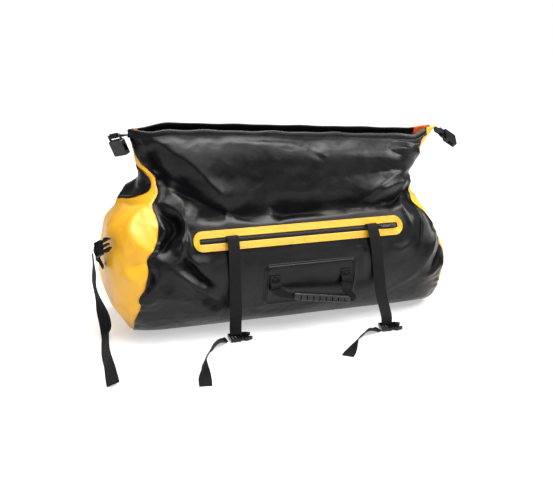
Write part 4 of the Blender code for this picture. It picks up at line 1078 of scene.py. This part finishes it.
# front closure straps
FRONT_STRAPS = (
    ("left", -0.1590, (-0.1580, -0.1500), (1.0, 0.02), (-0.1545, -0.1545),
     ((-0.1780, -0.1500), (-0.1890, -0.1530), (-0.2050, -0.1830), (-0.2300, -0.2230),
      (-0.2545, -0.2750), (-0.2690, -0.3490))),
    ("right", 0.1460, (0.1630, -0.1920), (1.0, -0.12), (-0.1560, -0.1660),
     ((0.1445, -0.1935), (0.1330, -0.1960), (0.1190, -0.2060), (0.1010, -0.2220),
      (0.0580, -0.2690), (0.0300, -0.3020))),
)
for name, xt, (xb, yb), head, (ym, yl), tail in FRONT_STRAPS:
    lo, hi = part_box("front_strap_" + name)
    ys = facet_y(xt, 0.2200)
    rout = [(xt, ys - 0.0027, 0.2190), (xt, ys - 0.0062, 0.2202), (xt, -0.1442, 0.2180),
            (xt, -0.1478, 0.2090),
            (xt + (xb - xt) * 0.2, -0.1525, 0.188), (xt + (xb - xt) * 0.6, ym, 0.135),
            (xt + (xb - xt) * 0.9, yl, 0.070), (xb, yb + 0.002, 0.030), (xb, yb, 0.0105)]
    path = flow(rout, -110)
    # a faint wave, so the webbing doesn't hang dead flat
    s = np.linspace(0, 1, len(path))
    path[:, 1] -= 0.0011 * np.sin(s * 9.0) * np.sin(s * math.pi)
    across = np.stack([np.ones(len(s)), 0.10 * np.sin(s * 4.2 + (0.6 if name == "left" else 2.4)),
                       np.zeros(len(s))], 1)
    ob = ribbon("closure_strap_" + name, path, across, WEB, WEB_T, M_WEB)
    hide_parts("front_strap_" + name)
    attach(ob, "closure_strap_" + name)
    pts = [(x, y, 0.0016) for x, y in tail]
    pts[0] = (tail[0][0], tail[0][1], 0.0040)
    path = flow(pts, -90)
    s = np.linspace(0, 1, len(path))
    ripple = 0.0030 * np.sin(s * 10.5 + 0.8) ** 2 * smooth(0.02, 0.25, s) * smooth(1.0, 0.8, s)
    path[:, 2] = np.maximum(path[:, 2], 0.0014) + ripple
    t = np.gradient(path, axis=0)
    flat = np.stack([-t[:, 1], t[:, 0], np.zeros(len(t))], 1)
    flat /= np.linalg.norm(flat, axis=1, keepdims=True)
    # the webbing has a set in it: it stands on its edge along the middle
    tw = np.radians(66 if name == "left" else 48) * smooth(0.05, 0.30, s) * smooth(0.95, 0.70, s)
    path[:, 2] += (WEB / 2) * np.sin(tw)
    across = flat * np.cos(tw)[:, None] + np.array([0, 0, 1.0]) * np.sin(tw)[:, None]
    ob = ribbon("closure_tail_" + name, path, across, WEB, WEB_T, M_WEB)
    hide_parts("front_tail_" + name)
    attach(ob, "closure_plug_" + name)
    rounded("front_buckle_" + name, M_BUCKLE)

# side straps
END_ROUTES = {
    "left": ((-0.4275, -0.0460, 0.150), (-0.4290, -0.0480, 0.116), (-0.4200, -0.0500, 0.072),
             (-0.4125, -0.0500, 0.028), (-0.4135, -0.0620, 0.006), (-0.4180, -0.0880, 0.0016),
             (-0.4260, -0.1580, 0.0016), (-0.4280, -0.2300, 0.0016), (-0.4305, -0.2970, 0.0016)),
    "right": ((0.3720, 0.0770, 0.140), (0.3800, 0.0780, 0.100), (0.3810, 0.0800, 0.055),
              (0.3790, 0.0840, 0.020), (0.3790, 0.0960, 0.005), (0.3780, 0.1200, 0.0016),
              (0.3740, 0.1800, 0.0016), (0.3670, 0.2400, 0.0016), (0.3570, 0.2960, 0.0016)),
}
for side, name in ((-1, "left"), (1, "right")):
    bar = Vector((-0.41824, -0.046, 0.174)) if side < 0 else Vector((0.35862, 0.075, 0.168))
    up = Vector((side * 0.30, 0.0, 0.954)).normalized()
    first = bar + up * 0.0092 + Vector((side * 0.0078, 0, 0))
    path = flow([tuple(first)] + list(END_ROUTES[name]), -140)
    path[:, 2] = np.maximum(path[:, 2], 0.0014)
    turn = np.radians(90 - side * 11 * smooth(0.170, 0.135, path[:, 2]))
    hang = np.stack([np.cos(turn), np.sin(turn), 0 * turn], 1)
    step = np.linalg.norm(np.diff(path, axis=0), axis=1)
    s = np.concatenate([[0], np.cumsum(step)]) / step.sum()
    k = smooth(0.16, 0.42, s)[:, None]
    lie = np.radians(50) * smooth(0.16, 0.50, s) * (0.35 + 0.65 * smooth(1.0, 0.74, s))
    flat = np.stack([side * np.cos(lie), 0 * lie, -np.sin(lie)], 1)
    across = (1 - k) * hang + k * flat
    path[:, 2] += (WEB / 2) * np.abs(across[:, 2]) / np.linalg.norm(across, axis=1) * k[:, 0]
    ob = ribbon("side_strap_" + name, path, across, WEB, WEB_T, M_WEB)
    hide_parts("end_strap_" + name)
    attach(ob, "side_strap_" + name)
    rounded("end_adjuster_" + name, M_BUCKLE)
    rounded("end_buckle_" + name, M_BUCKLE)
    rounded("end_tab_" + name, M_WEB3, 0.0004)
    rounded("rear_tab_" + name, M_WEB3, 0.0004)
    rounded("rear_buckle_" + name, M_BUCKLE, 0.0014)
    rounded("corner_loop_" + name, M_WEB3, 0.0004)
    rounded("corner_buckle_" + name, M_BUCKLE, 0.0014)


# ----------------------------------------------------------- handle and anchors
HANDLE_Z, HANDLE_X0, HANDLE_X1 = 0.110, -0.073, 0.084
axis_y = -0.15352 - 0.0005
gy = axis_y - 0.0105


def gz(x):
    return 0.0900 - 0.165 * (x + 0.0435)


for x, name in ((HANDLE_X0, "left"), (HANDLE_X1, "right")):
    pad = 0.0022
    path = []
    for z in (0.1325, 0.128, 0.122, 0.1175):
        path.append(tuple(surf(x, z, pad + 0.0006)))
    path += [(x, axis_y - 0.0030, 0.1148), (x, axis_y - 0.0048, 0.1095), (x, axis_y - 0.0026, 0.1052),
             (x, axis_y + 0.0020, 0.1042)]
    path.append(tuple(surf(x, 0.1035, pad + 0.0022)))
    path.append(tuple(surf(x, 0.1000, pad + 0.0004)))
    ob = ribbon("handle_loop_" + name, flow(path, -44), (1, 0, 0), 0.0230, 0.0015, M_WEB)
    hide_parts("handle_anchor_" + name)
    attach(ob, "bag")
    w, zt, zb = 0.0088, 0.1305, 0.1170
    c = [(x - w, zt), (x + w, zt), (x + w, zb), (x - w, zb)]
    lines = []
    for a, b in ((0, 1), (1, 2), (2, 3), (3, 0), (0, 2), (1, 3)):
        q = np.linspace(c[a], c[b], 14)
        lines.append([tuple(v) for v in surf(q[:, 0], q[:, 1], pad + 0.0016)])
    st = stitches("handle_stitching_" + name, lines, 0.0024, 0.00038, 0.0018)
    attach(st, "bag")

handle_parts = []
for ax, sgn, gx0 in ((HANDLE_X0, 1, -0.040), (HANDLE_X1, -1, 0.091)):
    pts = [(ax, axis_y + 0.0002, HANDLE_Z + 0.0022), (ax + sgn * 0.0004, axis_y - 0.0012, HANDLE_Z - 0.0040),
           (ax + sgn * 0.004 * (1 if sgn > 0 else 0.6), gy + 0.0035, (HANDLE_Z + gz(gx0)) / 2 + 0.0005),
           (gx0 - sgn * (0.012 if sgn > 0 else 0.006), gy + 0.0006, gz(gx0) + 0.0030),
           (gx0 - sgn * 0.002, gy, gz(gx0) + 0.0005), (gx0 + sgn * 0.012, gy, gz(gx0 + sgn * 0.012))]
    path = flow(pts, -50)
    t = np.gradient(path, axis=0)
    t /= np.linalg.norm(t, axis=1, keepdims=True)
    across = np.cross(t, (0.0, -1.0, 0.0))
    s = np.linspace(0, 1, len(path))
    width = 0.0205 - 0.0085 * smooth(0.15, 0.75, s)
    leg = ribbon("leg", path, across, width, 0.0022, M_WEB)
    handle_parts.append(leg)
    handle_parts[-1].name = "handle_webbing_left" if sgn > 0 else "handle_webbing_right"
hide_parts("handle_strap")
for o in handle_parts:
    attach(o, "handle")

# moulded grip: seven ribs with notches below, a thin lip along the top
xs = np.linspace(-0.037, 0.088, 190)
rows = []
for x in xs:
    u = (x + 0.037) / 0.125
    cy, cz = gy - 0.0008 * math.sin(math.pi * u), gz(x) + 0.0004 * math.sin(math.pi * u) - 0.0004
    cap = math.sqrt(max(1 - (abs(2 * u - 1) ** 14), 0.0))
    cap = 0.62 + 0.38 * cap
    ph = (u - 0.11) / 0.78 * 7
    inside = smooth(-0.15, 0.10, ph) * smooth(7.15, 6.90, ph)
    rib = min(1.0, abs(math.sin(math.pi * ph)) * 2.6) ** 0.8
    depth = 0.0062 * inside * (1 - rib)
    ring = []
    for a in np.linspace(0, 2 * math.pi, 40, endpoint=False):
        ca, sa = math.cos(a), math.sin(a)
        ry = 0.0073 * math.copysign(abs(ca) ** 0.62, ca)
        rz = 0.0086 * math.copysign(abs(sa) ** 0.62, sa)
        k = 1.0 - (depth / 0.0085) * float(smooth(0.45, 0.10, sa))
        lip = 0.0011 * math.exp(-((sa - 0.52) / 0.13) ** 2) * (1 if ca < 0 else 0.0)
        n = math.hypot(ry, rz)
        ry, rz = ry * k * cap * (1 + lip / n), rz * k * cap * (1 + lip / n)
        ring.append((x, cy + ry, cz + rz))
    rows.append(ring)
rows = np.array(rows)
g = mesh_object("handle_grip_moulded", rows.reshape(-1, 3), grid_faces(len(xs), 40, wrap=True)
                + [tuple(range(40))[::-1], tuple((len(xs) - 1) * 40 + k for k in range(40))])
bm = bmesh.new(); bm.from_mesh(g.data); bmesh.ops.recalc_face_normals(bm, faces=bm.faces)
bm.to_mesh(g.data); bm.free()
paint(g, M_GRIP)
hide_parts("handle_grip")
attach(g, "handle")


# ------------------------------------------------------------------- the mouth
def lip_line(rear, n=150):
    """Upper edge of a side panel, from the left seam to the right."""
    z = LIP_Z - 0.005
    x, y, s, (rl, fl, fr, rr) = level(z)
    total = s[-1]
    a, b = (rr, rl + total) if rear else (fl, fr)
    q = np.linspace(a - 0.004, b + 0.004, n) % total
    p = np.stack([np.interp(q, s, x), np.interp(q, s, y), np.full(n, z)], 1)
    return settle(p)


for rear, name in ((False, "front"), (True, "rear")):
    p = lip_line(rear)
    s = np.linspace(0, 1, len(p))
    sgn = 1.0 if rear else -1.0
    h, t = 0.0128, 0.0021
    tang = np.gradient(p, axis=0)
    tang /= np.linalg.norm(tang, axis=1, keepdims=True)
    out = np.cross(tang, (0, 0, 1.0))
    out /= np.linalg.norm(out, axis=1, keepdims=True)
    if np.dot(out[len(out) // 2], (0, sgn, 0)) < 0:
        out = -out
    lean = -0.45 * np.array([0, 0, 1.0])
    upv = np.array([0, 0, 1.0]) - 0.30 * out
    upv /= np.linalg.norm(upv, axis=1, keepdims=True)
    top = 0.0048
    prof = [(t * 0.9, -h), (t * 1.0, -h + 0.0008), (t * 0.95, -0.0100), (t * 0.70, -0.0084), (t * 0.95, -0.0068),
            (t, -0.0030), (t * 0.95, top * 0.55), (t * 0.55, top * 0.92), (0.0, top), (-t * 0.55, top * 0.92),
            (-t * 0.95, top * 0.55), (-t, -0.0030), (-t * 0.95, -h + 0.0008), (-t * 0.9, -h)]
    wave = 0.0009 * np.sin(s * 31) + 0.0007 * np.sin(s * 57 + 1.0)
    rows = []
    for o, u in prof:
        shift = 0.0 if rear else sag(p[:, 0])
        rows.append(p + shift + out * o + upv * u + np.array([0, 0, 1.0]) * wave[:, None] * (0.5 if rear else 1.0))
    rows = np.array(rows).transpose(1, 0, 2)
    m = len(prof)
    ob = mesh_object("mouth_hem_" + name, rows.reshape(-1, 3), grid_faces(len(p), m, wrap=True)
                     + [tuple(range(m))[::-1], tuple((len(p) - 1) * m + k for k in range(m))])
    bm = bmesh.new(); bm.from_mesh(ob.data); bmesh.ops.recalc_face_normals(bm, faces=bm.faces)
    bm.to_mesh(ob.data); bm.free()
    paint(ob, M_HEM)
    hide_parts("mouth_strip_" + name)
    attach(ob, "mouth")


for side, name, xa, xb, za, zb in ((-1, "left", 0.318, 0.334, 0.398, 0.4125), (1, "right", 0.308, 0.346, 0.398, 0.4150)):
    gx, gq = np.meshgrid(np.linspace(xa, xb, 14) * side, np.linspace(za, zb, 8))
    zc0 = np.minimum(gq, LIP_Z - 0.001)
    pts = settle(np.stack([gx, -outline(gx, zc0) - 0.0034 + 0.0006 * np.sin(gx * 300), gq], -1))
    ob = mesh_object("mouth_corner_tape_" + name, pts.reshape(-1, 3), grid_faces(8, 14))
    thick(ob, 0.0008, 0.0)
    bake(ob)
    paint(ob, M_TAPE)
    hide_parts("corner_tape_" + name)
    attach(ob, "mouth")


# ------------------------------------------------------------- stage and camera
def plane(name, size, z, mat):
    me = bpy.data.meshes.new(name)
    s = size / 2
    me.from_pydata([(-s, -s, z), (s, -s, z), (s, s, z), (-s, s, z)], [], [(0, 1, 2, 3)])
    o = bpy.data.objects.new(name, me)
    scene.collection.objects.link(o)
    o.data.materials.append(mat)
    return o


floor_mat, _, fb = new_material("floor_pale", (0.62, 0.62, 0.62), 0.75, spec=0.1)
fb.inputs["Emission Color"].default_value = (1, 1, 1, 1)
fb.inputs["Emission Strength"].default_value = 0.46
floor = plane("floor", 400.0, -0.0002, floor_mat)

world = bpy.data.worlds.new("studio")
scene.world = world
world.use_nodes = True
wt = world.node_tree
bg = wt.nodes["Background"]
bg.inputs["Color"].default_value = (0.93, 0.965, 1.0, 1)
bg.inputs["Strength"].default_value = 0.26
seen = wt.nodes.new("ShaderNodeBackground")
seen.inputs["Color"].default_value = (1, 1, 1, 1)
seen.inputs["Strength"].default_value = 1.0
path_info = wt.nodes.new("ShaderNodeLightPath")
pick = wt.nodes.new("ShaderNodeMixShader")
wt.links.new(path_info.outputs["Is Camera Ray"], pick.inputs[0])
wt.links.new(bg.outputs[0], pick.inputs[1])
wt.links.new(seen.outputs[0], pick.inputs[2])
wt.links.new(pick.outputs[0], wt.nodes["World Output"].inputs["Surface"])


def softbox(name, at, to, w, h, power, colour=(1, 1, 1)):
    d = bpy.data.lights.new(name, "AREA")
    d.shape, d.size, d.size_y, d.energy, d.color = "RECTANGLE", w, h, power, colour
    o = bpy.data.objects.new(name, d)
    scene.collection.objects.link(o)
    o.location = at
    o.rotation_euler = (Vector(to) - Vector(at)).to_track_quat("-Z", "Y").to_euler()
    return o


softbox("key_top", (0.10, -0.15, 2.1), (0.0, 0.0, 0.15), 1.8, 0.9, 58, (1.0, 0.96, 0.925))
softbox("key_right", (1.7, -0.75, 1.55), (0.0, 0.0, 0.22), 1.0, 0.9, 40, (1.0, 0.97, 0.94))
softbox("front_left", (-2.3, -1.3, 0.9), (-0.1, 0.0, 0.15), 0.7, 1.0, 7, (0.94, 0.97, 1.0))
softbox("back", (0.2, 2.2, 1.6), (0.0, 0.0, 0.2), 2.4, 1.0, 10)
softbox("front_low", (0.72, -2.05, 0.56), (0.02, 0.0, 0.17), 1.2, 0.26, 4)
sd = bpy.data.lights.new("sun", "SUN")
sd.energy, sd.angle, sd.color = 2.3, math.radians(60), (1.0, 0.99, 0.975)
so = bpy.data.objects.new("sun", sd)
scene.collection.objects.link(so)
so.rotation_euler = (Vector((-0.30, 0.40, -1.0))).to_track_quat("-Z", "Y").to_euler()

AZ, EL, DIST = math.radians(-18.2), math.radians(16.2), 2.0073
aim = Vector((0.0002, 0.0, 0.1552))
cd = bpy.data.cameras.new("camera")
cd.sensor_width = 36.0
cd.lens = 900.0 / 553.0 * 36.0
cd.shift_x = (276.5 - 285.9) / 553.0
cd.shift_y = (242.3 - 242.0) / 553.0
cd.clip_end = 60.0
camera = bpy.data.objects.new("camera", cd)
scene.collection.objects.link(camera)
back = Vector((math.sin(AZ) * math.cos(EL), -math.cos(AZ) * math.cos(EL), math.sin(EL)))
camera.location = aim + back * DIST
camera.rotation_euler = (-back).to_track_quat("-Z", "Y").to_euler()
cd.dof.use_dof = False
scene.camera = camera
scene.view_settings.view_transform = "Standard"
